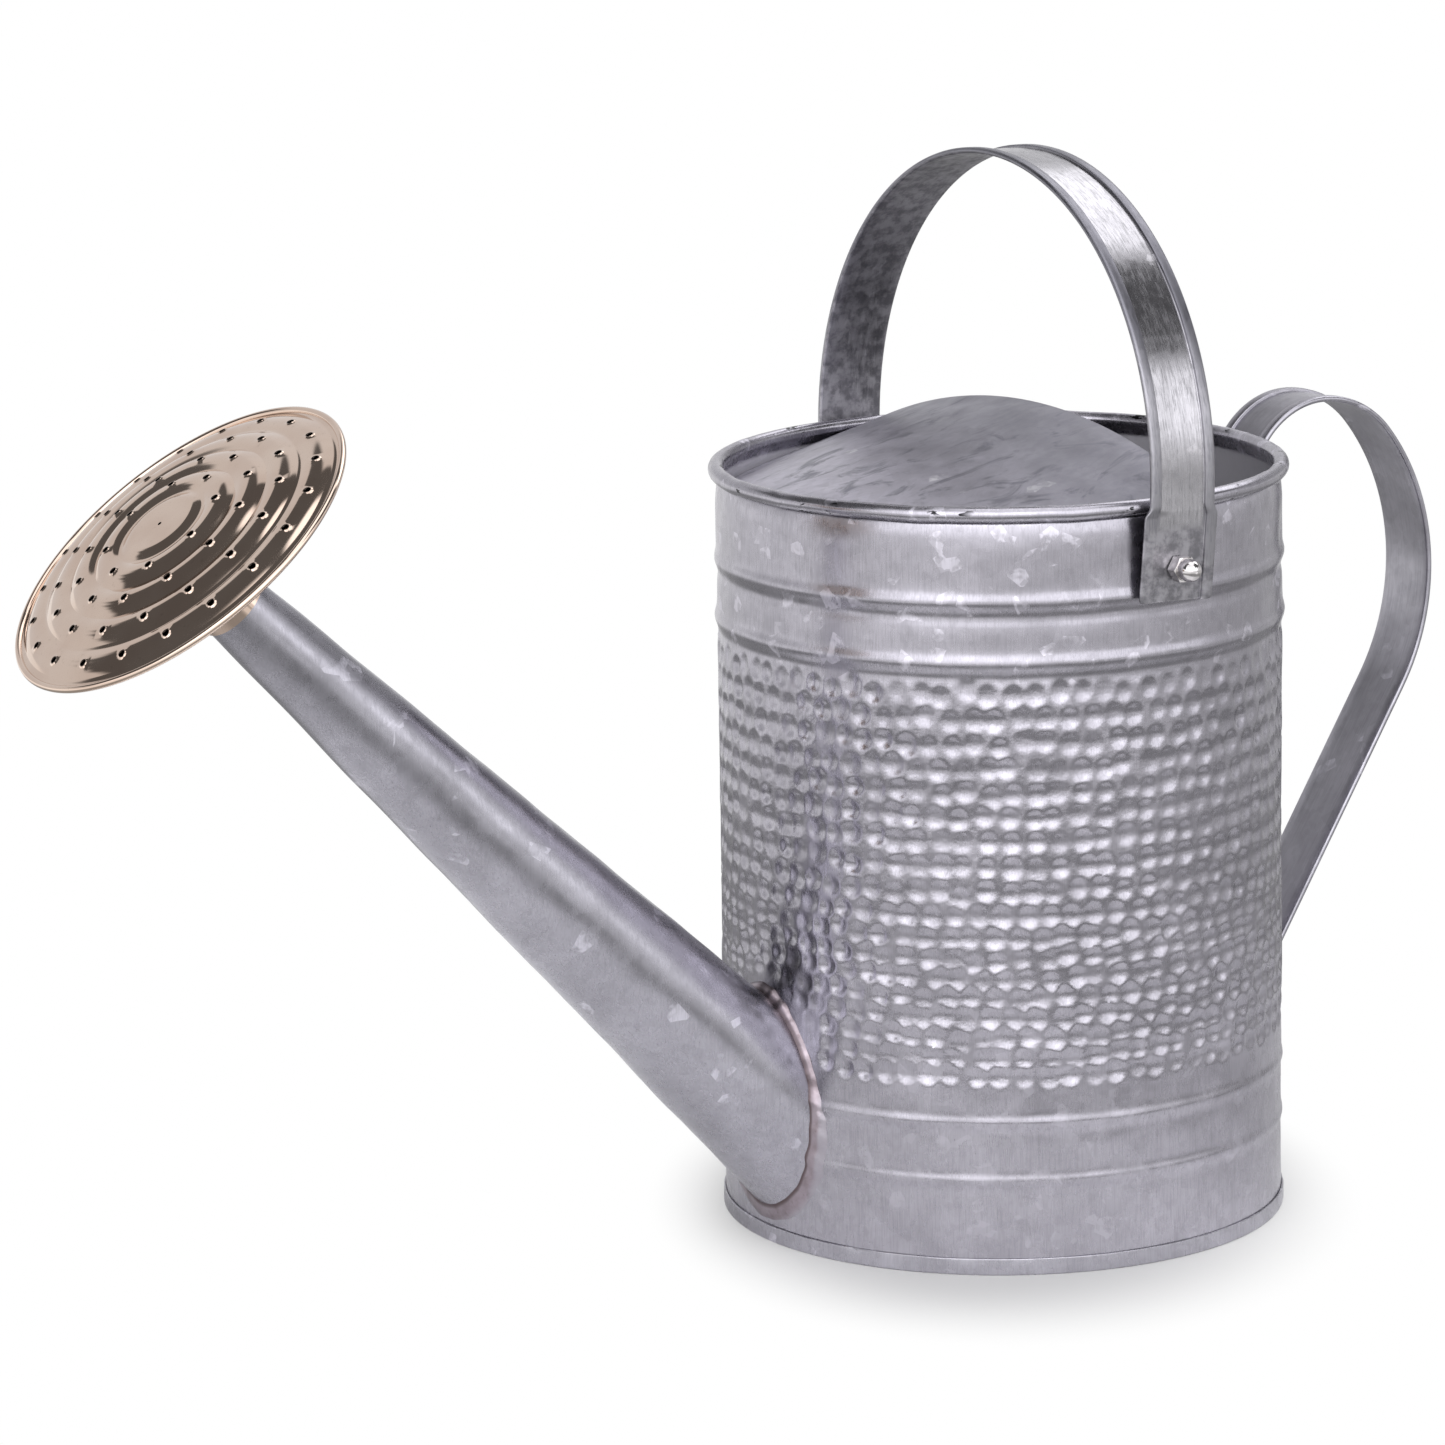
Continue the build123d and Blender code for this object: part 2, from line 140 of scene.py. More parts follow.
# Rose
ROSE_RISE = radians(52.0)
ROSE_REACH = 14.4
ROSE_RADIUS = 62.76
ROSE_EDGE = 1.2
EDGE_TURNS = np.radians(np.linspace(165, -165, 17))
ROSE_BAND = 59.2
BAND_ROW = 59.9
ROSE_COLUMNS = 240
RIPPLES = 4
RIPPLE_STEPS = 12
RIPPLE_LEVELS = (9.0, 7.8, 6.0, 3.3, 0.0)
RIPPLE_BULGES = (1.7, 1.65, 1.45, 1.3)
BOSS_RADIUS = 12.0
BOSS_FOOT = 15.7
BOSS_RISE = 1.4
BOSS_ROWS = (0.7, 2.5, 5, 8, 10.5, 11.6, 12.6, 13.8, 14.8)
RING_HOLES = (8, 12, 16, 20)
PATCH_ROWS = 3  # of the grid, taken by a nub to each side
PATCH_COLUMNS = (5, 3, 3, 2)
HOLE_RADIUS = 1.05
NUB_RADIUS = 2.0
# Radius and lift of loops from a nub's foot over its crest and down the hole
NUB_LOOPS = ((NUB_RADIUS, 0.0), (1.7, 0.09), (1.45, 0.28), (1.28, 0.38), (1.12, 0.34), (HOLE_RADIUS, 0.15),
             (HOLE_RADIUS, -SHEET), (NUB_RADIUS, -SHEET))
HOLE_DARK = 1.34
HOLE_FADE = 0.2

# Bail and rear handle
STRAP_SHEET = 1.0
STRAP_HALF = 12.5
BAIL_INSIDE = 99.8
BAIL_LEAN = radians(1.8)
BAIL_SPRING = 24.7
BAIL_BOW = np.radians(np.linspace(180, 0, 121))
BAIL_HOLE = 2.58
BORE_DEPTH = 300
FOOT_ROWS = np.concatenate([(0, 0.15, 0.6, 1.3, 2.4, 4), np.linspace(6, 26, 9), np.linspace(27, 29.5, 6)])
FOOT_BEND = 19.0
FOOT_DROP = 11.0
FOOT_HALF = 14.0
FOOT_LEAN = 1.75 / 22.3  # inwards per millimetre of drop
FOOT_CORNER = 1.0
FOOT_FADE = (2.0, 1.5)  # below and above the foot's bend
TAB_INSIDE = 95.9
TAB_TOP = 235.6
TAB_LENGTH = 33.6
TAB_CORNER = 3.0
TAB_FADE = (1, 4)  # before and after the tab's end
SHOULDER = 29.8
CROWN = 36.0
CROWN_SWEEP = radians(50.0)
HANDLE_BACK = 78.6
HANDLE_FOOT = 58.7
HANDLE_FOOT_BEND = 25.0
HANDLE_FOOT_LENGTH = 22.0
HANDLE_FADE = (5, 1)  # before the foot's bend

# Directions and places that follow from the sizes
across = np.array((0.0, 1.0, 0.0))
taper = (SPOUT_ROOT - SPOUT_TIP) / SPOUT_LENGTH
underside = tan(SPOUT_RISE + atan2(taper, 1))
spout_axis = np.array((-cos(SPOUT_RISE), 0.0, sin(SPOUT_RISE)))
spout_up = np.cross(spout_axis, across)
spout_height = SPOUT_FOOT + SPOUT_ROOT * (cos(SPOUT_RISE) + sin(SPOUT_RISE) * underside)
spout_root = np.array((-WALL_RADIUS, 0.0, spout_height))
rose_axis = np.array((-cos(ROSE_RISE), 0.0, sin(ROSE_RISE)))
rose_up = np.cross(rose_axis, across)
rose_centre = spout_root + SPOUT_LENGTH * spout_axis + ROSE_REACH * rose_axis
ripple_pitch = (ROSE_BAND - BOSS_FOOT) / RIPPLES
ring_radii = [BOSS_FOOT + (ring + 0.5) * ripple_pitch for ring in range(RIPPLES)]
bail_up = np.array((sin(BAIL_LEAN), 0, cos(BAIL_LEAN)))
bail_side = np.array((cos(BAIL_LEAN), 0, -sin(BAIL_LEAN)))


def wobble(points, wavelength, seed):
    """Smooth noise of about unit height, from seeded plane waves."""
    waves = 9
    draw = np.random.default_rng(seed)
    total = np.zeros(points.shape[:-1])
    for _ in range(waves):
        direction = draw.normal(size=3)
        direction *= 2 * pi / (wavelength * draw.uniform(0.7, 1.5) * norm(direction))
        total += np.sin(points @ direction + draw.uniform(0, 2 * pi))
    return total / sqrt(waves / 2)


def ease(value, low, high):
    """0 below low, 1 above high, eased between."""
    share = np.clip((value - low) / (high - low), 0, 1)
    return share * share * (3 - 2 * share)


def link(name, data):
    """A new object in the scene."""
    made = bpy.data.objects.new(name, data)
    bpy.context.scene.collection.objects.link(made)
    return made


def full_turn(count):
    """Even angles once round."""
    return np.linspace(0, 2 * pi, count, endpoint=False)


def dents(points, waves):
    """Smooth noises added up, each with a depth, a wavelength and a seed."""
    return sum(depth * wobble(points, wavelength, seed) for depth, wavelength, seed in waves)


def unit_run(line):
    """Unit directions along a line."""
    run = np.gradient(line, axis=0)
    return run / norm(run, axis=1, keepdims=True)


def bisect(inside, low, high):
    """Where a test that holds at low stops holding on the way to high."""
    for _ in range(HALVINGS):
        middle = (low + high) / 2
        held = inside(middle)
        low, high = np.where(held, middle, low), np.where(held, high, middle)
    return high


def polar(radius, angle, height):
    """Points round the can's axis."""
    radius, angle, height = np.broadcast_arrays(radius, angle, height)
    return np.stack([radius * np.cos(angle), radius * np.sin(angle), height], axis=-1)


def add_piece(name, points, faces, body, replaced, sharp=SHARP):
    """A mesh piece that stands for CAD nodes. Points are in millimetres."""
    mesh = bpy.data.meshes.new(name)
    mesh.from_pydata((np.asarray(points) * MM).tolist(), [], faces)
    work = bmesh.new()
    work.from_mesh(mesh)
    bmesh.ops.delete(work, geom=[v for v in work.verts if not v.link_faces], context="VERTS")
    bmesh.ops.remove_doubles(work, verts=work.verts, dist=MERGE)
    bmesh.ops.recalc_face_normals(work, faces=work.faces)
    work.to_mesh(mesh)
    work.free()
    mesh.shade_smooth()
    mesh.set_sharp_from_angle(angle=radians(sharp))
    piece = link(name, mesh)
    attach(piece, body)
    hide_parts(*replaced)
    return piece


def grid_faces(index, wrap_rows=False, wrap_columns=True):
    """Quads between neighbours in a grid of point numbers."""
    if wrap_rows:
        index = np.vstack([index, index[:1]])
    if wrap_columns:
        index = np.hstack([index, index[:, :1]])
    corners = (index[:-1, :-1], index[:-1, 1:], index[1:, 1:], index[1:, :-1])
    return np.stack(corners, axis=-1)


def sheet_mesh(outer, inner, wrap, keep=None):
    """Points and faces of a sheet: two layers of one grid, joined along open edges."""
    under = outer[..., 0].size
    cells = grid_faces(np.arange(under).reshape(outer.shape[:2]), wrap_columns=wrap)
    if keep is None:
        keep = np.ones(cells.shape[:2], bool)
    faces = [cells[keep], cells[keep] + under]
    beyond = np.pad(keep, 1)
    if wrap:
        beyond[:, 0] = beyond[:, -2]
        beyond[:, -1] = beyond[:, 1]
    sides = ((0, 1, -1, 0), (2, 3, 1, 0), (1, 2, 0, 1), (3, 0, 0, -1))
    for first, second, down, along in sides:
        neighbour = beyond[1 + down:1 + down + keep.shape[0], 1 + along:1 + along + keep.shape[1]]
        open_cells = cells[keep & ~neighbour]
        start, end = open_cells[:, first], open_cells[:, second]
        faces.append(np.stack([end, start, start + under, end + under], axis=-1))
    points = np.concatenate([outer.reshape(-1, 3), inner.reshape(-1, 3)])
    return points, np.concatenate(faces).tolist()


def rounded(corners, radii, steps=4):
    """Polyline through corners, each rounded by its radius."""
    corners = [np.array(c, float) for c in corners]
    line = [corners[0]]
    for before, corner, after, radius in zip(corners, corners[1:], corners[2:], radii):
        back = (before - corner) / norm(before - corner)
        on = (after - corner) / norm(after - corner)
        for step in range(steps + 1):
            share = step / steps
            line.append(corner + radius * ((1 - share) ** 2 * back + share**2 * on))
    line.append(corners[-1])
    return np.array(line)


# Wall


def bead_profile(height):
    """How far the beads push the wall out at a height."""
    out = np.zeros_like(height)
    for bead in BEADS:
        place, rise = np.array(UPPER_BEAD if bead > BEADS[1] else LOWER_BEAD)[::-1].T
        out += sum(np.interp(height - bead + shift, place, rise) for shift in BEAD_BLUR) / len(BEAD_BLUR)
    return out


dimple_grid = (len(DIMPLE_ROWS), DIMPLE_COLUMNS)
dimple_draw = np.random.default_rng(11)
dimple_phase = dimple_draw.uniform(0, 1, len(DIMPLE_ROWS))
dimple_shift = dimple_draw.normal(0, DIMPLE_SHIFT, (*dimple_grid, 2))
dimple_size = dimple_draw.uniform(*DIMPLE_SIZES, dimple_grid)
dimple_force = dimple_draw.uniform(*DIMPLE_FORCES, dimple_grid)


def dimples(angle, height):
    """Depth of the hammer marks at an angle and a height."""
    depth = np.zeros(np.broadcast(angle, height).shape)
    pitch = 2 * pi / DIMPLE_COLUMNS
    for row, centre in enumerate(DIMPLE_ROWS):
        place = angle / pitch - dimple_phase[row]
        nearest = np.round(place).astype(int)
        for side in (-1, 0, 1):
            mark = (nearest + side) % DIMPLE_COLUMNS
            along = (place - nearest - side) * pitch * WALL_RADIUS - dimple_shift[row, mark, 0]
            up = height - centre - dimple_shift[row, mark, 1]
            radius = DIMPLE_RADIUS * dimple_size[row, mark]
            share = 1 - (along**2 + up**2) / radius**2
            depth = np.maximum(depth, DIMPLE_DEPTH * dimple_force[row, mark] * np.maximum(share, 0))
    return depth


def spout_distance(points):
    """Distance from the spout's axis, less the spout's radius there."""
    offset = points - spout_root
    along = offset @ spout_axis
    aside = norm(offset - along[..., None] * spout_axis, axis=-1)
    return aside - (SPOUT_ROOT - taper * along)


def wall_radius(angle, height):
    """Outside of the wall, with its beads, hammer marks and small dents."""
    smooth = polar(WALL_RADIUS, angle, height)
    away = ease(spout_distance(smooth), SOLDER_LEG, SOLDER_LEG + DIMPLE_FADE)
    dented = ease(height, *DENTED_FROM) * (1 - ease(height, *DENTED_TO))
    neck = NECK_DEPTH * np.clip((height - NECK_START) / (WALL_TOP - NECK_START), 0, 1) ** 2
    beaten = WALL_RADIUS + bead_profile(height) - neck - away * dimples(angle, height)
    return beaten + dented * dents(smooth, WALL_DENTS)


def spout_gap(turn, rise):
    """Distance from the edge of the wall's spout hole."""
    return spout_distance(polar(WALL_RADIUS, turn, rise)) + SHEET


def bolt_gap(turn, rise):
    """Distance from the edge of a bolt hole."""
    return np.hypot(WALL_RADIUS * np.cos(turn) - PIVOT[0], rise - PIVOT[2]) - BOLT_HOLE


def cut_holes(angle, height):
    """Moves points in a hole out to its edge, and returns which cells of the wall are left."""
    bolt_angle = np.arccos(PIVOT[0] / WALL_RADIUS)
    holes = (
        (spout_gap, pi, spout_height, SPOUT_ROOT * 2),
        (bolt_gap, bolt_angle, PIVOT[2], BOLT_HOLE * 3),
        (bolt_gap, 2 * pi - bolt_angle, PIVOT[2], BOLT_HOLE * 3),
    )
    missing = np.zeros(height.shape, bool)
    for gap, middle_angle, middle_height, reach in holes:
        near = np.hypot((angle - middle_angle) * WALL_RADIUS, height - middle_height) < reach
        inside = near & (gap(angle, height) < 0)
        missing |= inside
        turn, rise = angle[inside] - middle_angle, height[inside] - middle_height

        def in_hole(share):
            return gap(middle_angle + share * turn, middle_height + share * rise) < 0

        share = bisect(in_hole, np.ones_like(turn), np.full_like(turn, HOLE_SEARCH))
        angle[inside] = middle_angle + share * turn
        height[inside] = middle_height + share * rise
    corners = grid_faces(np.arange(height.size).reshape(height.shape))
    return ~missing.ravel()[corners].all(axis=-1)


def rim_curl(angles):
    """Both skins of the rim's curl. The first, against the wire, goes on from the wall's outside."""
    circle = np.stack([np.cos(ROLL_TURNS), np.sin(ROLL_TURNS)], -1)
    roll = np.concatenate([ROLL_LEAD, np.array(ROLL_CENTRE) + (ROLL_RADIUS - SHEET) * circle])
    wall_end = (WALL_RADIUS - NECK_DEPTH, WALL_TOP)
    run = unit_run(np.concatenate([[wall_end], roll]))[1:]
    left = np.stack([-run[:, 1], run[:, 0]], -1)
    dent = np.minimum(dents(polar(WALL_RADIUS, angles, RIM_DENT_HEIGHT), RIM_DENTS), 0.0)
    return [polar(line[:, :1], angles[None, :], line[:, 1:] + dent) for line in (roll, roll + SHEET * left)]


def make_wall():
    """Beaded and hammered wall with its curled rim, spout hole and bolt holes."""
    heights = np.concatenate([
        np.linspace(low, high, max(1, round((high - low) / step)), endpoint=False)
        for (low, step), (high, _) in zip(WALL_RUNS, WALL_RUNS[1:])
    ])
    angles = full_turn(WALL_COLUMNS)
    height, angle = np.meshgrid(heights, angles, indexing="ij")
    wall_cells = cut_holes(angle, height)
    radius = wall_radius(angle, height)
    wire_side, open_side = rim_curl(angles)
    outer = np.concatenate([polar(radius, angle, height), wire_side])
    inner = np.concatenate([polar(radius - SHEET, angle, height), open_side])
    keep = np.concatenate([wall_cells, np.ones((len(wire_side), WALL_COLUMNS), bool)])
    points, faces = sheet_mesh(outer, inner, True, keep)
    return add_piece("can_wall", points, faces, "can", ["body_wall"])


# Base and hood


def make_base():
    """Recessed base disc, folded round the wall's lower edge."""
    line = rounded(BASE_LINE, BASE_ROUNDING)
    points = polar(line[:, :1], full_turn(BASE_COLUMNS)[None, :], line[:, 1:])
    faces = grid_faces(np.arange(len(line) * BASE_COLUMNS).reshape(-1, BASE_COLUMNS))
    outside = ease(np.hypot(points[..., 0], points[..., 1]), *SEAM_SKIN)
    fold = outside * ease(points[..., 2], *SEAM_FOOT)
    dent = np.minimum(fold * (dents(points, SEAM_DENTS) - SEAM_SINK), 0)
    points[..., :2] *= (1 + dent / WALL_RADIUS)[..., None]
    points, faces = points.reshape(-1, 3), faces.reshape(-1, 4).tolist()
    return add_piece("can_base", points, faces, "can", ["base_pan"])


def hood_top(x, y):
    """Height of the hood's upper side."""
    drop = HOOD_BEND - np.sqrt(HOOD_BEND**2 - y**2)
    return HOOD_TOP + (x - HOOD_REAR) * tan(HOOD_SLOPE) - drop / cos(HOOD_SLOPE)


def make_hood():
    """Bent cover over the front half of the mouth, turned down inside the wall."""
    rows, columns = HOOD_GRID
    start = np.arccos(HOOD_REAR / HOOD_REACH)
    turn = np.linspace(start, 2 * pi - start, columns)
    edge = hood_top(HOOD_REACH * np.cos(turn), HOOD_REACH * np.sin(turn))
    reach = HOOD_REACH + HOOD_TUCK * (1 - ease(edge, *TUCK_HEIGHTS))
    rim_x, rim_y = reach * np.cos(turn), reach * np.sin(turn)
    rear_y = np.linspace(rim_y[0], rim_y[-1], columns)
    share = np.linspace(0, 1, rows)[:, None]
    x = HOOD_REAR + share * (rim_x - HOOD_REAR)
    y = rear_y + share * (rim_y - rear_y)
    flat = np.stack([x, y, np.zeros_like(x)], -1)
    calm = ease(reach - np.hypot(x, y), 0, HOOD_CALM[0]) * ease(HOOD_REAR - x, 0, HOOD_CALM[1])
    upper = np.stack([x, y, hood_top(x, y) + calm * dents(flat, HOOD_DENTS)], -1)
    lower = upper - np.array((-sin(HOOD_SLOPE), 0, cos(HOOD_SLOPE))) * SHEET
    inward = np.stack([-np.cos(turn), -np.sin(turn), np.zeros(columns)], -1)
    down = np.array((0, 0, -1.0))
    skirt = (HOOD_SKIRT / 2, HOOD_SKIRT)
    outside = [upper[-1] + down * drop for drop in (*HOOD_FOLD, *skirt)]
    inside = [upper[-1] + inward * SHEET + down * drop for drop in (*HOOD_LINING, *skirt)]
    upper[-1] += inward * HOOD_ROUND[0]
    lower[-1] += inward * HOOD_ROUND[1]
    points, faces = sheet_mesh(np.concatenate([upper, outside]), np.concatenate([lower, inside]), False)
    return add_piece("mouth_hood", points, faces, "can", ["hood"])


# Spout and solder


def cone_point(turn, along, growth):
    """Point on the spout's cone, grown by a radius."""
    radius = SPOUT_ROOT - taper * along + growth
    side = np.cos(turn)[..., None] * across + np.sin(turn)[..., None] * spout_up
    return spout_root + along[..., None] * spout_axis + radius[..., None] * side


def cone_meets_wall(turn, growth, gap):
    """How far along the spout its cone, grown by a radius, leaves the wall."""

    def in_wall(along):
        point = cone_point(turn, along, growth)
        wall = WALL_RADIUS + bead_profile(point[..., 2]) + gap
        return np.hypot(point[..., 0], point[..., 1]) < wall

    low, high = (np.full_like(turn, share * SPOUT_ROOT) for share in MEET_SEARCH)
    return bisect(in_wall, low, high)


def make_spout():
    """Tapering spout with small dents, cut to the wall."""
    rows, columns = SPOUT_GRID
    turn = full_turn(columns)
    start = cone_meets_wall(turn, 0.0, SEAT_GAP)
    share = (np.linspace(0, 1, rows) ** SPOUT_CROWDING)[:, None]
    along = start + share * (SPOUT_LENGTH - start)
    turns = np.broadcast_to(turn, along.shape)
    smooth = cone_point(turns, along, np.zeros_like(along))
    past_foot = ease(along, *(start + length for length in SPOUT_CALM_FOOT))
    near_tip = ease(along, *(SPOUT_LENGTH - length for length in SPOUT_CALM_TIP))
    dent = past_foot * (1 - near_tip) * dents(smooth, SPOUT_DENTS)
    points, faces = sheet_mesh(cone_point(turns, along, dent), cone_point(turns, along, dent - SHEET), True)
    return add_piece("pouring_spout", points, faces, "can", ["spout"])


def make_solder():
    """Lumpy fillet of solder in the corner between the spout and the wall."""
    turn = full_turn(SOLDER_COLUMNS)
    meet = cone_meets_wall(turn, 0.0, 0.0)
    corner = cone_point(turn, meet, np.zeros_like(turn))
    lump = wobble(corner, *LUMP_WAVE)
    ripple = wobble(corner, *RIPPLE_WAVE)
    leg = SOLDER_LEG * (0.78 + 0.08 * lump + 0.04 * ripple)
    on_spout = cone_point(turn, meet + leg * 0.9, np.full_like(turn, 0.02))
    on_wall = cone_point(turn, cone_meets_wall(turn, leg, -SEAT_GAP), leg)
    bisector = on_spout + on_wall - 2 * corner
    bisector /= norm(bisector, axis=-1, keepdims=True)
    height = (0.55 + 0.16 * lump + 0.09 * ripple)[:, None]
    rows = [corner]
    for share in np.linspace(0, 1, SOLDER_ROWS):
        swell = 1 - abs(2 * share - 1)
        rows.append(on_spout + share * (on_wall - on_spout) + bisector * height * swell)
    points = np.array(rows).reshape(-1, 3)
    index = np.arange(len(points)).reshape(-1, SOLDER_COLUMNS)
    faces = grid_faces(index, wrap_rows=True).reshape(-1, 4).tolist()
    return add_piece("solder_fillet", points, faces, "can", ["spout_solder"], SOLDER_SHARP)


# Rose


def rose_point(radius, turn, height):
    """Point of the rose, above its rim's plane by a height."""
    radius, turn, height = np.broadcast_arrays(radius, turn, height)
    side = np.cos(turn)[..., None] * across + np.sin(turn)[..., None] * rose_up
    return rose_centre + radius[..., None] * side + height[..., None] * rose_axis


def ripple_height(radius):
    """Height of the rose's face at a radius, with its valleys softened."""
    fine = np.arange(0, ROSE_RADIUS, 0.1)
    rung = (fine - BOSS_FOOT) / ripple_pitch
    level = np.interp(rung, range(RIPPLES + 1), RIPPLE_LEVELS)
    within = rung - np.floor(rung)
    bulge = np.array(RIPPLE_BULGES)[np.clip(np.floor(rung).astype(int), 0, RIPPLES - 1)]
    ring = level + bulge * 4 * within * (1 - within)
    boss = RIPPLE_LEVELS[0] + BOSS_RISE
    slope = np.interp(fine, (BOSS_RADIUS, BOSS_FOOT), (boss, boss - BOSS_RISE))
    raw = np.where(fine < BOSS_FOOT, slope, np.where(fine < ROSE_BAND, ring, 0.0))
    kernel = np.exp(-np.linspace(-2, 2, 15) ** 2)
    padded = np.pad(raw, len(kernel) // 2, mode="edge")
    return np.interp(radius, fine, np.convolve(padded, kernel / kernel.sum(), mode="valid"))


def hole_shade(points):
    """Share of the painted shade inside a hole at points of the rose's face."""
    away = points - rose_centre
    flat = np.stack([away @ across, away @ rose_up], axis=-1)
    gap = np.inf
    for radius, holes in zip(ring_radii, RING_HOLES):
        for turn in full_turn(holes):
            centre = radius * np.array((cos(turn), sin(turn)))
            gap = np.minimum(gap, norm(flat - centre, axis=-1))
    return np.clip((HOLE_DARK - gap) / HOLE_FADE, 0, 1)


def patch_outline(row, column, half):
    """Rows and columns of the grid that a nub takes, and the row and column of each place round them."""
    rows = np.arange(row - PATCH_ROWS, row + PATCH_ROWS + 1)
    columns = np.arange(column - half, column + half + 1)
    outline = [(rows[0], c) for c in columns] + [(r, columns[-1]) for r in rows[1:]]
    outline += [(rows[-1], c) for c in columns[-2::-1]] + [(r, columns[0]) for r in rows[-2:0:-1]]
    return rows, columns, *np.array(outline).T


def make_rose():
    """Rippled face with a rolled edge, and a nub round each hole."""
    ring_rows = np.linspace(BOSS_FOOT, ROSE_BAND, RIPPLES * RIPPLE_STEPS + 1)
    radii = np.array([*BOSS_ROWS, *ring_rows, BAND_ROW])
    turn = full_turn(ROSE_COLUMNS)
    edge_radius = ROSE_RADIUS - ROSE_EDGE + ROSE_EDGE * np.cos(EDGE_TURNS)
    edge_height = -SHEET / 2 + ROSE_EDGE * np.sin(EDGE_TURNS)
    line_radius = np.concatenate([radii, edge_radius, radii[::-1]])
    line_height = np.concatenate([ripple_height(radii), edge_height, ripple_height(radii[::-1]) - SHEET])
    points = list(rose_point(line_radius[:, None], turn[None, :], line_height[:, None]).reshape(-1, 3))
    index = np.arange(len(points)).reshape(-1, ROSE_COLUMNS)
    cells = grid_faces(index, wrap_rows=True)
    keep = np.ones(cells.shape[:2], bool)
    last = len(line_radius) - 1
    faces = []
    for ring, (radius, holes, half) in enumerate(zip(ring_radii, RING_HOLES, PATCH_COLUMNS)):
        row = len(BOSS_ROWS) + ring * RIPPLE_STEPS + RIPPLE_STEPS // 2
        for hole in range(holes):
            column = hole * ROSE_COLUMNS // holes
            rows, columns, at_row, at_column = patch_outline(row, column, half)
            cut = columns[:-1] % ROSE_COLUMNS
            keep[np.ix_(rows[:-1], cut)] = False
            keep[np.ix_(last - rows[1:], cut)] = False
            spread = (at_column - column) * 2 * pi / ROSE_COLUMNS * radius
            heading = np.arctan2(radii[at_row] - radius, spread)
            loops = [index[at_row, at_column % ROSE_COLUMNS]]
            for size, lift in NUB_LOOPS:
                at = radius + size * np.sin(heading)
                where = 2 * pi * hole / holes + size * np.cos(heading) / radius
                loops.append(np.arange(len(points), len(points) + len(heading)))
                points.extend(rose_point(at, where, ripple_height(at) + lift))
            loops.append(index[last - at_row, at_column % ROSE_COLUMNS])
            faces.append(grid_faces(np.array(loops)).reshape(-1, 4))
    faces = np.concatenate([*faces, cells[keep]]).tolist()
    return add_piece("rose_plate", points, faces, "rose", ["rose_face"])


# Straps

LIP_PLACES = (10.2, 9.1, 8.65, 8.5, 8.46)
HEM_LIP = (2.0, 1.98, 1.85, 1.55, 1.15)
FLAT_LIP = (1.1, 1.1, 1.09, 1.06, 1.02)


def strap_side(fold, lip):
    """Half of a strap's section: inner side, round edge, and outer side with a lip."""
    turns = np.radians(np.linspace(-90, 90, 7))
    edge = [(STRAP_HALF - fold + fold * cos(a), fold + fold * sin(a)) for a in turns]
    outer_side = ((8.3, STRAP_SHEET), (4, STRAP_SHEET), (0, STRAP_SHEET))
    return np.array([(0, 0), (4, 0), (8, 0), *edge, *zip(LIP_PLACES, lip), *outer_side])


HEM_SIDE = strap_side(STRAP_SHEET, HEM_LIP)
FLAT_SIDE = strap_side(STRAP_SHEET / 2, FLAT_LIP)


def strap_mesh(line, out, sideways, flat, half_width, lift):
    """Points and faces of a strap along a line, each side hemmed or flat."""
    rows = []
    for point, normal, flatness, half in zip(line, out, flat, half_width):
        front, back = ((1 - f) * HEM_SIDE + f * FLAT_SIDE for f in flatness)
        loop = np.concatenate([front, back[-2:0:-1] * (-1, 1)])
        stretched = loop[:, :1] * half / STRAP_HALF
        rows.append(point + stretched * sideways + (loop[:, 1:] + lift) * normal)
    points = np.array(rows)
    index = np.arange(points[..., 0].size).reshape(points.shape[:2])
    faces = grid_faces(index).reshape(-1, 4).tolist()
    return points.reshape(-1, 3), faces + [index[0].tolist(), index[-1].tolist()]


def corner_width(distance, half, corner):
    """Half width of a strap at a distance from its rounded end."""
    cut = np.clip(corner - distance, 0, corner)
    return half - corner + np.sqrt(corner**2 - cut**2)


def bore(piece, centre, radius):
    """Cuts a hole along Y through a piece."""
    cutter_mesh = bpy.data.meshes.new("bore")
    work = bmesh.new()
    turned = Matrix.Translation(Vector(centre) * MM) @ Matrix.Rotation(pi / 2, 4, "X")
    bmesh.ops.create_cone(work, cap_ends=True, segments=32, radius1=radius * MM, radius2=radius * MM,
                          depth=BORE_DEPTH * MM, matrix=turned)
    work.to_mesh(cutter_mesh)
    work.free()
    cutter = link("bore", cutter_mesh)
    cut = piece.modifiers.new("bore", "BOOLEAN")
    cut.operation = "DIFFERENCE"
    cut.solver = "EXACT"
    cut.object = cutter
    bpy.context.view_layer.update()
    made = bpy.data.meshes.new_from_object(piece.evaluated_get(bpy.context.evaluated_depsgraph_get()))
    piece.modifiers.clear()
    made.name = piece.data.name + "_bored"
    piece.data = made
    bpy.data.objects.remove(cutter)


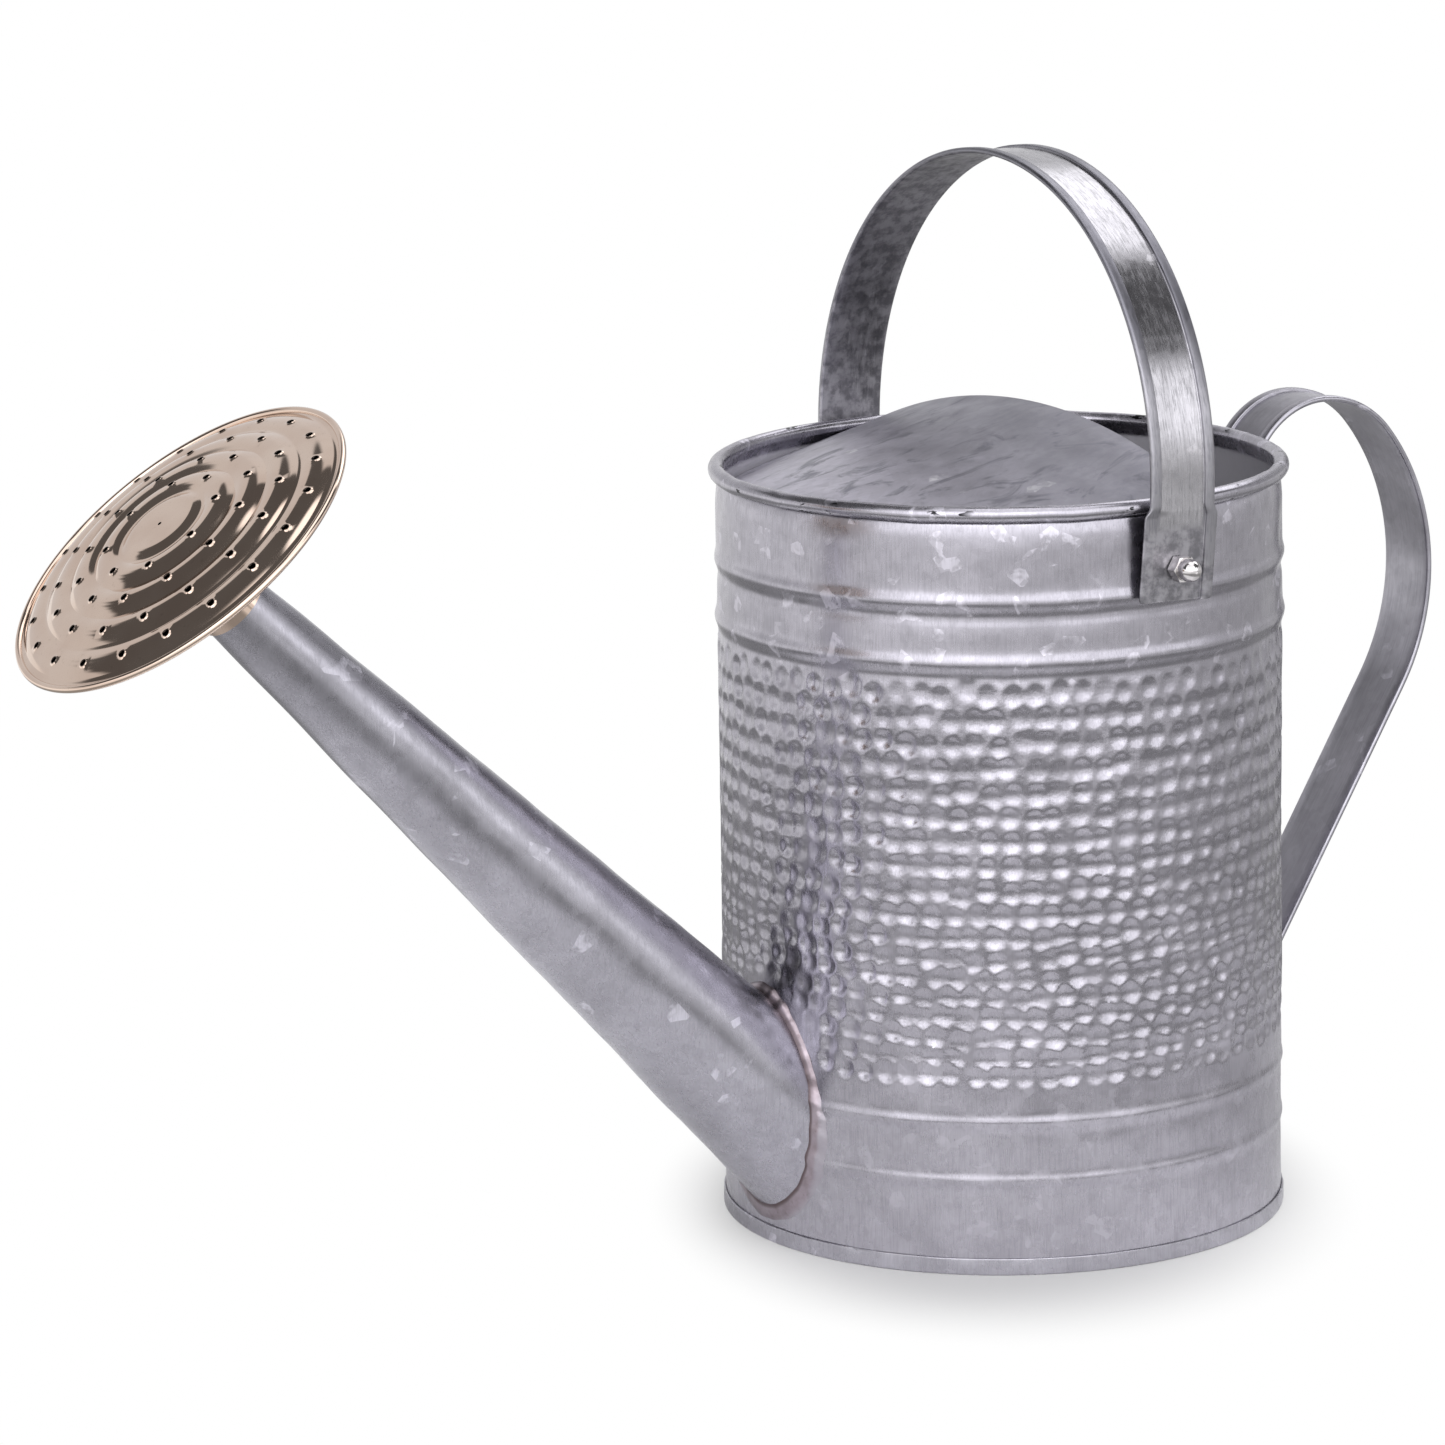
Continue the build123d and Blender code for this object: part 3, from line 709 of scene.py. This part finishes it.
def make_bail():
    """Swinging strap: hemmed bow on two flattened feet."""
    heights = np.concatenate([FOOT_ROWS - FOOT_DROP, np.linspace(FOOT_BEND, BAIL_SPRING, 6)[:-1]])
    inside = BAIL_INSIDE - np.where(heights < FOOT_BEND, FOOT_LEAN * (FOOT_BEND - heights), 0)
    reach = np.concatenate([-inside, BAIL_INSIDE * np.cos(BAIL_BOW), inside[::-1]])
    level = np.concatenate([heights, BAIL_SPRING + BAIL_INSIDE * np.sin(BAIL_BOW), heights[::-1]])
    line = np.array(PIVOT) + reach[:, None] * across + level[:, None] * bail_up
    out = np.cross(bail_side, unit_run(line))
    out *= np.sign((out * (line - np.array(PIVOT) - BAIL_SPRING * bail_up)).sum(-1))[:, None]
    flat = 1 - ease(level, FOOT_BEND - FOOT_FADE[0], FOOT_BEND + FOOT_FADE[1])
    half = STRAP_HALF + (FOOT_HALF - STRAP_HALF) * flat
    half = np.minimum(half, corner_width(level + FOOT_DROP, FOOT_HALF, FOOT_CORNER))
    hemmed = np.zeros_like(flat)
    points, faces = strap_mesh(line, out, bail_side, np.stack([hemmed, flat], -1), half, 0.0)
    bail = add_piece("swing_bail", points, faces, "bail", ["bail"])
    bore(bail, PIVOT, BAIL_HOLE)
    return bail


def make_rear_handle():
    """Fixed strap: a tab under the rim, a crown, and down to a tab on the lower beads."""
    points = [np.array((TAB_INSIDE, TAB_TOP - TAB_LENGTH))]
    heading = pi / 2

    def straight(length, step):
        start = points[-1]
        ahead = np.array((cos(heading), sin(heading)))
        count = max(1, round(length / step))
        points.extend(start + ahead * length * (i + 1) / count for i in range(count))

    def bend(radius, sweep, step):
        nonlocal heading
        side = 1 if sweep > 0 else -1
        centre = points[-1] + side * radius * np.array((-sin(heading), cos(heading)))
        count = max(2, round(abs(sweep) * radius / step))
        for i in range(count):
            turned = heading + sweep * (i + 1) / count
            points.append(centre - side * radius * np.array((-sin(turned), cos(turned))))
        heading += sweep

    crown_centre = np.array((TAB_INSIDE + SHOULDER, TAB_TOP + SHOULDER - CROWN))
    crown_end = np.array((sin(CROWN_SWEEP), cos(CROWN_SWEEP)))
    back_centre = crown_centre + crown_end * (CROWN - HANDLE_BACK)
    foot_x = TAB_INSIDE + STRAP_SHEET
    gap = back_centre - np.array((foot_x, HANDLE_FOOT))
    run_angle = asin(HANDLE_BACK / hypot(*gap)) + atan2(gap[0], gap[1])
    foot_bend_width = HANDLE_FOOT_BEND * (1 - cos(run_angle))
    straight(TAB_LENGTH, step=2.5)
    tab_end = len(points)
    bend(SHOULDER, -pi / 2, step=2)
    bend(CROWN, -CROWN_SWEEP, step=2)
    bend(HANDLE_BACK, CROWN_SWEEP - pi / 2 - run_angle, step=3)
    straight((points[-1][0] - foot_x - foot_bend_width) / sin(run_angle), step=4)
    foot_start = len(points)
    bend(HANDLE_FOOT_BEND, run_angle, step=1.5)
    straight(HANDLE_FOOT_LENGTH, step=2)
    flat_line = np.array(points)
    run = unit_run(flat_line)
    line = np.stack([flat_line[:, 0], np.zeros(len(points)), flat_line[:, 1]], -1)
    out = np.stack([-run[:, 1], np.zeros(len(points)), run[:, 0]], -1)
    travel = np.concatenate([[0], np.cumsum(norm(np.diff(flat_line, axis=0), axis=1))])
    tab, foot = travel[tab_end], travel[foot_start]
    flat = 1 - ease(travel, tab - TAB_FADE[0], tab + TAB_FADE[1])
    flat = np.maximum(flat, ease(travel, foot - HANDLE_FADE[0], foot - HANDLE_FADE[1]))
    half = corner_width(np.minimum(travel, travel[-1] - travel), STRAP_HALF, TAB_CORNER)
    points, faces = strap_mesh(line, out, across, np.stack([flat, flat], -1), half, -STRAP_SHEET)
    return add_piece("back_handle", points, faces, "can", ["rear_handle"])


wall = make_wall()
base = make_base()
hood = make_hood()
spout = make_spout()
solder = make_solder()
rose = make_rose()
bail = make_bail()
rear_handle = make_rear_handle()


# Materials


class Nodes:
    """Short ways to add nodes to a tree."""

    def __init__(self, tree):
        self.tree = tree

    def add(self, kind, *values, **named):
        """A new node, with inputs in order or by name."""
        node = self.tree.nodes.new("ShaderNode" + kind)
        for key, value in (*enumerate(values), *named.items()):
            self.put(node.inputs[key], value)
        return node

    def put(self, socket, value):
        """Links or sets a socket."""
        if isinstance(value, bpy.types.NodeSocket):
            self.tree.links.new(value, socket)
        else:
            socket.default_value = (*value, 1.0) if socket.type == "RGBA" else value

    def math(self, operation, first, second=0.5, clamp=False):
        """One sum on two values."""
        node = self.add("Math", first, second)
        node.operation = operation
        node.use_clamp = clamp
        return node.outputs[0]

    def times(self, product, *factors):
        """Product of values."""
        for factor in factors:
            product = self.math("MULTIPLY", product, factor)
        return product

    def plus(self, first, second):
        """Sum of two values."""
        return self.math("ADD", first, second)

    def vector(self, operation, *values, output="Value"):
        """One sum on vectors."""
        node = self.add("VectorMath", *values)
        node.operation = operation
        return node.outputs[output]

    def span(self, value, low, high, bottom=0.0, top=1.0):
        """Value from low to high, eased over bottom to top."""
        node = self.add("MapRange", value, low, high, bottom, top)
        node.interpolation_type = "SMOOTHSTEP"
        return node.outputs["Result"]

    def blend(self, share, first, second):
        """Mix of two colours."""
        node = self.add("Mix", share)
        node.data_type = "RGBA"
        colours = [socket for socket in node.inputs if socket.type == "RGBA"]
        self.put(colours[0], first)
        self.put(colours[1], second)
        return next(socket for socket in node.outputs if socket.type == "RGBA")


class Shader(Nodes):
    """A metal material."""

    def __init__(self, name):
        self.material = bpy.data.materials.new(name)
        self.material.use_nodes = True
        super().__init__(self.material.node_tree)
        self.surface = self.tree.nodes["Principled BSDF"]
        self.surface.inputs["Metallic"].default_value = 1.0
        self.place = self.add("TexCoord").outputs["Object"]

    def mapped(self, size, turn=(0, 0, 0)):
        """Object coordinates over one size or three, in millimetres. The turn comes after, so it only
        picks another stretch of a noise."""
        scale = [1 / (length * MM) for length in np.broadcast_to(size, 3)]
        return self.add("Mapping", Vector=self.place, Rotation=turn, Scale=scale).outputs["Vector"]

    def noise(self, size, detail=3.0, roughness=0.55, distortion=0.0, turn=(0, 0, 0)):
        """Noise around 0.5, of a size in millimetres."""
        node = self.add("TexNoise", Vector=self.mapped(size, turn), Scale=1.0, Detail=detail,
                        Roughness=roughness, Distortion=distortion)
        return node.outputs["Fac"]

    def crystals(self, size):
        """Three random values per crystal."""
        node = self.add("TexVoronoi", Vector=self.mapped(size), Scale=1.0)
        return self.add("SeparateColor", node.outputs["Color"]).outputs

    def axis(self, which):
        """One object coordinate, in metres."""
        return self.add("SeparateXYZ", self.place).outputs[which]

    def between(self, which, low, high, bottom=0.0, top=1.0):
        """Span along one object coordinate, in millimetres."""
        return self.span(self.axis(which), low * MM, high * MM, bottom, top)

    def attribute(self, name):
        """A value that the mesh's points hold."""
        node = self.add("Attribute")
        node.attribute_name = name
        return node.outputs["Fac"]

    def stain(self, tone, colour, value, low, high, most=1.0):
        """A colour blended into a tone as a value rises."""
        return self.blend(self.span(value, low, high, 0.0, most), tone, colour)

    def bump(self, height, depth, strength, under=None):
        """A bump of a depth in millimetres, on top of another."""
        node = self.add("Bump", Strength=strength, Distance=depth * MM, Height=height)
        if under is not None:
            self.put(node.inputs["Normal"], under)
        return node.outputs["Normal"]

    def done(self, colour, roughness, normal=None):
        """Feeds the surface and returns the material."""
        self.put(self.surface.inputs["Base Color"], colour)
        self.put(self.surface.inputs["Roughness"], roughness)
        if normal is not None:
            self.put(self.surface.inputs["Normal"], normal)
        return self.material


def store(piece, name, measure):
    """Keeps a measure of each of a piece's points, in millimetres, on the point."""
    places = np.array([v.co for v in piece.data.vertices]) / MM
    piece.data.attributes.new(name, "FLOAT", "POINT").data.foreach_set("value", measure(places))


def zinc(name, colour, grain, turn=(0, 0, 0), mottle=0.1, glint_flecks=0.9, crystal=5.2, rough=0.27, brush=0.26,
         low=None):
    """Galvanised steel: crystals, a grain and a soft mottle, with painted glints on some crystals. The glints
    thin out below a height.
    """

    def toned(factor):
        return [min(1.0, channel * factor) for channel in colour]

    s = Shader(name)
    cloud = s.noise(38, 4.0, 0.6)
    patch = s.noise(9, 3.0, 0.6, 0.4)
    streak = s.noise(grain, 2.0, 0.6, turn=turn)
    whole = s.crystals(crystal)
    shard = s.crystals(crystal * 0.42)
    # Mask of the crystals that get a painted glint.
    fleck_glint = s.times(s.span(whole[0], glint_flecks, glint_flecks + 0.02), s.span(shard[0], 0.3, 0.36, 0.35, 1.0),
                    s.span(patch, 0.46, 0.58), s.span(streak, 0.35, 0.6, 0.55, 1.0))
    if low:
        fleck_glint = s.times(fleck_glint, s.between("Z", low, low + 6, 0.25, 1.0))
    tone = s.stain(toned(1 - mottle), toned(1 + mottle), cloud, 0.3, 0.7)
    tone = s.stain(tone, toned(0.6), whole[1], 0.0, 1.0, 0.16)
    tone = s.stain(tone, toned(0.5), shard[1], 0.7, 0.9, 0.12)
    tone = s.stain(tone, toned(0.55), streak, 0.4, 0.75, brush)
    # Painted glints: crystals in the mask turn bright, as if catching the light.
    tone = s.blend(s.times(fleck_glint, 0.6), tone, toned(1.9))
    gloss = s.plus(s.span(patch, 0.3, 0.7, rough - 0.05, rough + 0.05), s.span(streak, 0.3, 0.7, -0.03, 0.03))
    gloss = s.plus(gloss, s.times(fleck_glint, 0.08))
    normal = s.bump(patch, 0.1, 0.35, s.bump(streak, 0.02, 0.5))
    return s, tone, gloss, normal


def wall_material():
    """Hammered zinc: a smudge, chips on the rim, pocks between the beads, and a duller inside whose paler
    colour is painted light.
    """
    s, tone, gloss, normal = zinc("hammered_zinc", (0.425, 0.411, 0.456), (0.5, 0.5, 9.0), glint_flecks=0.84,
                                  brush=0.32, low=196)
    away = s.vector("DISTANCE", s.place, [length * MM for length in SMUDGE])
    smoke = s.times(s.span(away, 5 * MM, 17 * MM, 1.0, 0.0), s.span(s.noise(9), 0.4, 0.62))
    tone = s.blend(s.times(smoke, 0.7), tone, (0.10, 0.095, 0.10))
    chip = s.times(s.span(s.noise((7, 7, 2.2)), 0.61, 0.64), s.span(s.noise(30, 1.0), 0.5, 0.56),
                   s.between("Z", 251.2, 252.0))
    tone = s.blend(chip, tone, (0.02, 0.02, 0.022))
    beaten = s.times(s.between("Z", 60, 66), s.between("Z", 196, 202, 1.0, 0.0))
    normal = s.bump(s.times(s.noise(2.6, 2.0, 0.6), beaten), 0.16, 0.8, normal)
    # Painted light: below the rim the inside gets a paler colour; it is also made rougher and less metallic.
    facing = s.vector("DOT_PRODUCT", s.place, s.add("NewGeometry").outputs["True Normal"])
    within = s.times(s.span(facing, -0.08, -0.04, 1.0, 0.0), s.between("Z", 249, 250.5, 1.0, 0.0))
    tone = s.blend(s.times(within, 0.8), tone, (0.5, 0.49, 0.53))
    gloss = s.plus(gloss, s.times(within, 0.3))
    s.put(s.surface.inputs["Metallic"], s.math("SUBTRACT", 1.0, s.times(within, 0.65)))
    return s.done(tone, gloss, normal)


def base_material():
    """Plain zinc with few painted glints."""
    s, *look = zinc("plain_zinc", (0.41, 0.40, 0.44), (0.6, 0.6, 14.0), glint_flecks=0.94)
    return s.done(*look)


def spout_material():
    """Plain zinc with larger crystals."""
    turn = (0, pi / 2 - SPOUT_RISE, 0)
    s, *look = zinc("spout_zinc", (0.43, 0.42, 0.465), (0.6, 0.6, 22.0), turn, glint_flecks=0.93, crystal=7.0)
    return s.done(*look)


def hood_material():
    """Dull zinc with wisps, blooms and smears, and painted shade that darkens it towards the rear."""
    s, tone, gloss, normal = zinc("hood_zinc", (0.57, 0.55, 0.615), (7.0, 3.0, 7.0), mottle=0.15, glint_flecks=0.97,
                                  rough=0.46, brush=0.1)
    wisp = s.noise((26, 15, 26), 5.0, 0.62, 1.8, (0, 0, 0.7))
    tone = s.stain(tone, (0.2, 0.2, 0.235), wisp, 0.52, 0.68, 0.75)
    bloom = s.noise((13, 34, 13), 5.0, 0.7, 1.2, (0, 0, -0.5))
    tone = s.stain(tone, (0.6, 0.58, 0.645), bloom, 0.58, 0.7, 0.6)
    smear = s.noise(70, 3.0, 0.6, 0.8)
    tone = s.stain(tone, (0.27, 0.27, 0.31), smear, 0.5, 0.68, 0.4)
    # Painted shade: the hood darkens towards the rear.
    tone = s.blend(s.between("X", -60, 8, 0.0, 0.62), tone, (0.2, 0.2, 0.23))
    return s.done(tone, gloss, normal)


def bail_material():
    """Brighter zinc, brushed lengthwise, with dark hems and a darker, mottled inner side of painted shade."""
    s, tone, gloss, normal = zinc("bail_zinc", (0.47, 0.46, 0.485), (0.5, 18.0, 18.0), glint_flecks=0.975,
                                  rough=0.21, brush=0.4)

    def along(direction):
        """Metres from the bail's pivot along a direction."""
        whole = s.vector("DOT_PRODUCT", s.place, tuple(direction))
        return s.math("SUBTRACT", whole, float(np.dot(PIVOT, direction)) * MM)

    brushed = s.noise((0.55, 4.5, 4.5), 3.0, 0.6)
    tone = s.stain(tone, (0.19, 0.19, 0.20), brushed, 0.48, 0.7, 0.5)
    gloss = s.plus(gloss, s.span(brushed, 0.4, 0.7, 0.0, 0.12))
    rise = s.math("MAXIMUM", s.math("SUBTRACT", along(bail_up), BAIL_SPRING * MM), 0.0)
    reach = s.math("SQRT", s.plus(s.math("POWER", s.axis("Y"), 2.0), s.math("POWER", rise, 2.0)))
    outside = s.span(reach, (BAIL_INSIDE + 0.4) * MM, (BAIL_INSIDE + 0.7) * MM)
    hem = s.times(s.span(s.math("ABSOLUTE", along(bail_side)), 8.2 * MM, 8.6 * MM), outside)
    tone = s.blend(s.times(hem, s.between("Z", 285, 318, 0.5, 0.92)), tone, (0.2, 0.197, 0.225))
    gloss = s.plus(gloss, s.times(hem, 0.14))
    # Painted shade: the inner side gets a darker, mottled tone; it is also rougher.
    inside = s.math("SUBTRACT", 1.0, outside)
    blotchy_inner_shade = s.stain((0.22, 0.215, 0.235), (0.42, 0.41, 0.44), s.noise(4.5, 4.0, 0.65), 0.36, 0.64)
    tone = s.blend(inside, tone, blotchy_inner_shade)
    gloss = s.plus(gloss, s.times(inside, 0.2))
    return s.done(tone, gloss, normal)


def handle_material():
    """Mottled zinc with its grain along the strap."""
    grain = (14.0, 0.6, 14.0)
    s, *look = zinc("handle_zinc", (0.40, 0.39, 0.43), grain, mottle=0.16, glint_flecks=0.96, rough=0.36)
    return s.done(*look)


def solder_material():
    """Grimy solder, faded out towards the wall, with painted shade: dark along the seam by the spout, and
    near the top dark on both sides of its ridge.
    """
    s = Shader("solder")
    grime = s.noise(3, 3.0, 0.6)
    gap = s.attribute("spout_gap")
    upper = s.between("Z", 46, 66)
    tone = s.stain((0.27, 0.226, 0.247), (0.36, 0.312, 0.345), s.noise(7, 4.0, 0.6), 0.35, 0.65)
    tone = s.stain(tone, (0.12, 0.085, 0.085), grime, 0.58, 0.75, 0.4)
    # Painted shade along the seam by the spout.
    tone = s.blend(s.span(gap, 0.3, 1.0, 0.8, 0.0), tone, (0.10, 0.07, 0.07))
    # Near the top, painted shade on both sides of the ridge: the wall side turns dark instead of fading to
    # zinc, and the dark band by the spout widens.
    foot = s.blend(upper, (0.42, 0.408, 0.452), (0.14, 0.115, 0.125))
    tone = s.stain(tone, foot, gap, 2.1, 3.3, 0.68)
    tone = s.blend(s.times(upper, s.span(gap, 0.9, 1.7, 0.75, 0.0)), tone, (0.13, 0.105, 0.115))
    return s.done(tone, s.span(grime, 0.3, 0.7, 0.3, 0.42), s.bump(grime, 0.3, 0.5))


def rose_material():
    """Polished, pale champagne metal with small spots, and painted shade in the holes."""
    s = Shader("rose_metal")
    cloud = s.noise(22, 3.0, 0.5)
    tone = s.stain((0.66, 0.512, 0.42), (0.72, 0.577, 0.48), cloud, 0.35, 0.65)
    tone = s.stain(tone, (0.42, 0.33, 0.26), s.noise(2.2, 3.0, 0.6), 0.62, 0.75, 0.35)
    tone = s.blend(s.attribute("hole_shade"), tone, (0.05, 0.04, 0.035))
    return s.done(tone, s.span(cloud, 0.3, 0.7, 0.05, 0.1), s.bump(cloud, 0.06, 0.3))


def plated(name, size, dark, light, roughness, depth, strength):
    """Plated metal with faint clouds of a size."""
    s = Shader(name)
    cloud = s.noise(size, 3.0, 0.6)
    tone = s.stain(dark, light, cloud, 0.35, 0.65)
    return s.done(tone, s.span(cloud, 0.3, 0.7, *roughness), s.bump(cloud, depth, strength))


store(solder, "spout_gap", spout_distance)
store(rose, "hole_shade", hole_shade)
rose_metal = rose_material()
fastener = plated("fastener_zinc", 3, (0.46, 0.45, 0.48), (0.58, 0.57, 0.6), (0.25, 0.4), 0.05, 0.3)
chrome = plated("nut_chrome", 4, (0.56, 0.535, 0.535), (0.66, 0.635, 0.635), (0.06, 0.14), 0.02, 0.2)
looks = (
    (wall_material(), wall),
    (base_material(), base),
    (hood_material(), hood),
    (spout_material(), spout),
    (solder_material(), solder),
    (bail_material(), bail),
    (handle_material(), rear_handle),
    (rose_metal, rose, nodes["rose_back"], nodes["rose_socket"]),
    (fastener, *(nodes[x] for x in ("rim_wire", "pivot_bolts", "inner_washers", "pivot_spacers"))),
    (chrome, nodes["acorn_nuts"]),
)
for material, *wearers in looks:
    for wearer in wearers:
        wearer.data.materials.clear()
        wearer.data.materials.append(material)


# Floor, light and camera

FLOOR_HALF = 14.0
# Painted drop shadow: inside the near ellipse the camera sees a darker floor tone, on top of the real shadow.
NEAR_SHADE = (radians(31), 1.0, 0.7, 0.07, 0.124)  # seen from the camera
FAR_SHADE = (0.0, 0.8, 1.0, 0.25, 0.35)  # seen in reflections
DARK = 0.12
DARK_FROM = (6, 10)
OVERHEAD = 1.8
OVERHEAD_TOWARDS = (0.1, -0.1, 0.99)
OVERHEAD_HALF = (23, 19)
COOL = 1.02  # blue of the lights against their red and green
# Azimuth, half width, soft edge, lowest and highest degree of each soft box, and its strength
SOFT_BOXES = (
    (180, 90, 8, 5, 17.5, 0.76),
    (190, 35, 3, 5, 19.5, 0.76),
    (187, 32, 3, 5, 22, 0.76),
    (183, 28, 3, 5, 26, 0.76),
    (179, 24, 3, 5, 30.5, 0.76),
    (175, 20, 3, 5, 40.5, 0.76),
    (146, 18, 4, 5, 58, 0.8),
    (95, 40, 8, 3, 24, 0.5),
    (112, 28, 5, 30, 62, 2.3),
    (-88, 30, 5, 3, 17, 1.6),
    (-30, 56, 6, 43, 68, 1.6),
    (-29, 55, 4, 3, 44, 2.2),
    (62, 16, 6, 5, 21, 1.0),
    (29, 20, 6, 5, 30, 1.9),
)
SOFT_FOOT = 2
SOFT_HEAD = 1.5
KEY_PLACE = (-1.6, -2.05, 1.7)
KEY_AIM = (0, 0, 0.15)
KEY_SIZE = (2.8, 1.4)
KEY_POWER = 10
CAMERA_PLACE = (-1.21742, -1.84414, 0.64254)
CAMERA_TURNS = ((-31, "Z"), (90 - 12.15, "X"), (-0.93, "Z"))  # turn, pitch and roll in degrees
LENS = 166.48


def floor_material():
    """Pale floor that keeps the can's shadow, with painted shade round the can and in reflections, and white
    further out.
    """
    s = Shader("floor_white")
    s.put(s.surface.inputs["Metallic"], 0.0)
    s.put(s.surface.inputs["Specular IOR Level"], 0.1)
    path = s.add("LightPath").outputs
    camera = path["Is Camera Ray"]
    # Painted shade in reflections and bounced light: the floor's tone darkens to the right.
    floor_tone_with_painted_shade = s.blend(s.between("X", -20, 200), (0.9, 0.9, 0.9), (0.62, 0.62, 0.62))
    # Painted shadow: from the camera the floor near the can takes a darker tone.
    s.done(s.blend(camera, floor_tone_with_painted_shade, (0.6, 0.6, 0.595)), 0.9)

    def outside(turn, width, depth, inner, outer):
        """0 within a turned ellipse on the floor and 1 beyond it."""
        shares = ((width * cos(turn), -width * sin(turn)), (depth * sin(turn), depth * cos(turn)))
        sums = [s.plus(s.times(s.axis("X"), x), s.times(s.axis("Y"), y)) for x, y in shares]
        squares = [s.times(total, total) for total in sums]
        return s.span(s.math("SQRT", s.plus(*squares)), inner, outer)

    mirrored = s.math("ADD", path["Is Glossy Ray"], path["Is Transmission Ray"], True)
    seen = s.times(mirrored, outside(*FAR_SHADE))
    seen = s.math("ADD", s.times(camera, outside(*NEAR_SHADE)), seen, True)
    # Painted shade and light in reflections: the white beyond the ellipse dims near the can and to the right,
    # and is brighter far to the left.
    painted_reflection_level = s.times(s.span(s.vector("LENGTH", s.place), 0.58, 1.05, 0.38, 1.0),
                     s.between("X", 700, 1000, 1.0, 0.65), s.between("X", -900, -400, 1.22, 1.0))
    white = s.add("Emission", Strength=s.math("MAXIMUM", painted_reflection_level, camera))
    mixer = s.add("MixShader", seen, s.surface.outputs[0], white.outputs[0])
    s.put(s.tree.nodes["Material Output"].inputs["Surface"], mixer.outputs[0])
    return s.material


def make_floor():
    """One large square on the floor's plane."""
    mesh = bpy.data.meshes.new("floor")
    corners = [(x * FLOOR_HALF, y * FLOOR_HALF, 0) for x, y in ((-1, -1), (1, -1), (1, 1), (-1, 1))]
    mesh.from_pydata(corners, [], [(0, 1, 2, 3)])
    floor = link("floor", mesh)
    mesh.materials.append(floor_material())


def make_world():
    """White horizon, soft boxes round the can and overhead, and dark between them."""
    world = bpy.data.worlds.new("studio")
    bpy.context.scene.world = world
    world.use_nodes = True
    n = Nodes(world.node_tree)
    look = n.add("TexCoord").outputs["Generated"]
    height = n.add("SeparateXYZ", look).outputs["Z"]
    level = n.vector("MULTIPLY", look, (1, 1, 0), output="Vector")
    level = n.vector("NORMALIZE", level, output="Vector")

    def climb(low, high):
        """0 to 1 between two heights in degrees."""
        return n.span(height, sin(radians(low)), sin(radians(high)))

    def sector(middle, half, soft, low, high):
        """1 near an azimuth and between two heights, in degrees from the can."""
        towards = (sin(radians(middle)), -cos(radians(middle)), 0)
        facing = n.vector("DOT_PRODUCT", level, towards)
        within = n.span(facing, cos(radians(half + soft)), cos(radians(half - soft)))
        above = climb(low - SOFT_FOOT, low + SOFT_FOOT)
        return n.times(within, above, climb(high + SOFT_HEAD, high - SOFT_HEAD))

    towards_top = n.vector("DOT_PRODUCT", look, OVERHEAD_TOWARDS)
    overhead = n.span(towards_top, *(cos(radians(half)) for half in OVERHEAD_HALF))
    layers = [(climb(*DARK_FROM), DARK), (overhead, OVERHEAD)]
    layers += [(sector(*where), strength) for *where, strength in SOFT_BOXES]
    colour = (1, 1, 1)
    for share, strength in layers:
        colour = n.blend(share, colour, (strength, strength, strength * COOL))
    n.put(n.tree.nodes["Background"].inputs["Color"], colour)


def make_key_light():
    """Large soft box at the front left, above the camera."""
    lamp = bpy.data.lights.new("key", "AREA")
    lamp.shape = "RECTANGLE"
    lamp.size, lamp.size_y = KEY_SIZE
    lamp.energy = KEY_POWER
    light = link("key", lamp)
    light.location = KEY_PLACE
    light.rotation_euler = (Vector(KEY_AIM) - Vector(KEY_PLACE)).to_track_quat("-Z", "Y").to_euler()


def make_camera():
    """Camera at the photograph's viewing angle."""
    lens = bpy.data.cameras.new("camera")
    lens.lens = LENS
    camera = link("camera", lens)
    place = Matrix.Translation(CAMERA_PLACE)
    for angle, axis in CAMERA_TURNS:
        place = place @ Matrix.Rotation(radians(angle), 4, axis)
    camera.matrix_world = place
    bpy.context.scene.camera = camera


make_floor()
make_world()
make_key_light()
make_camera()
bpy.context.scene.view_settings.view_transform = "Standard"
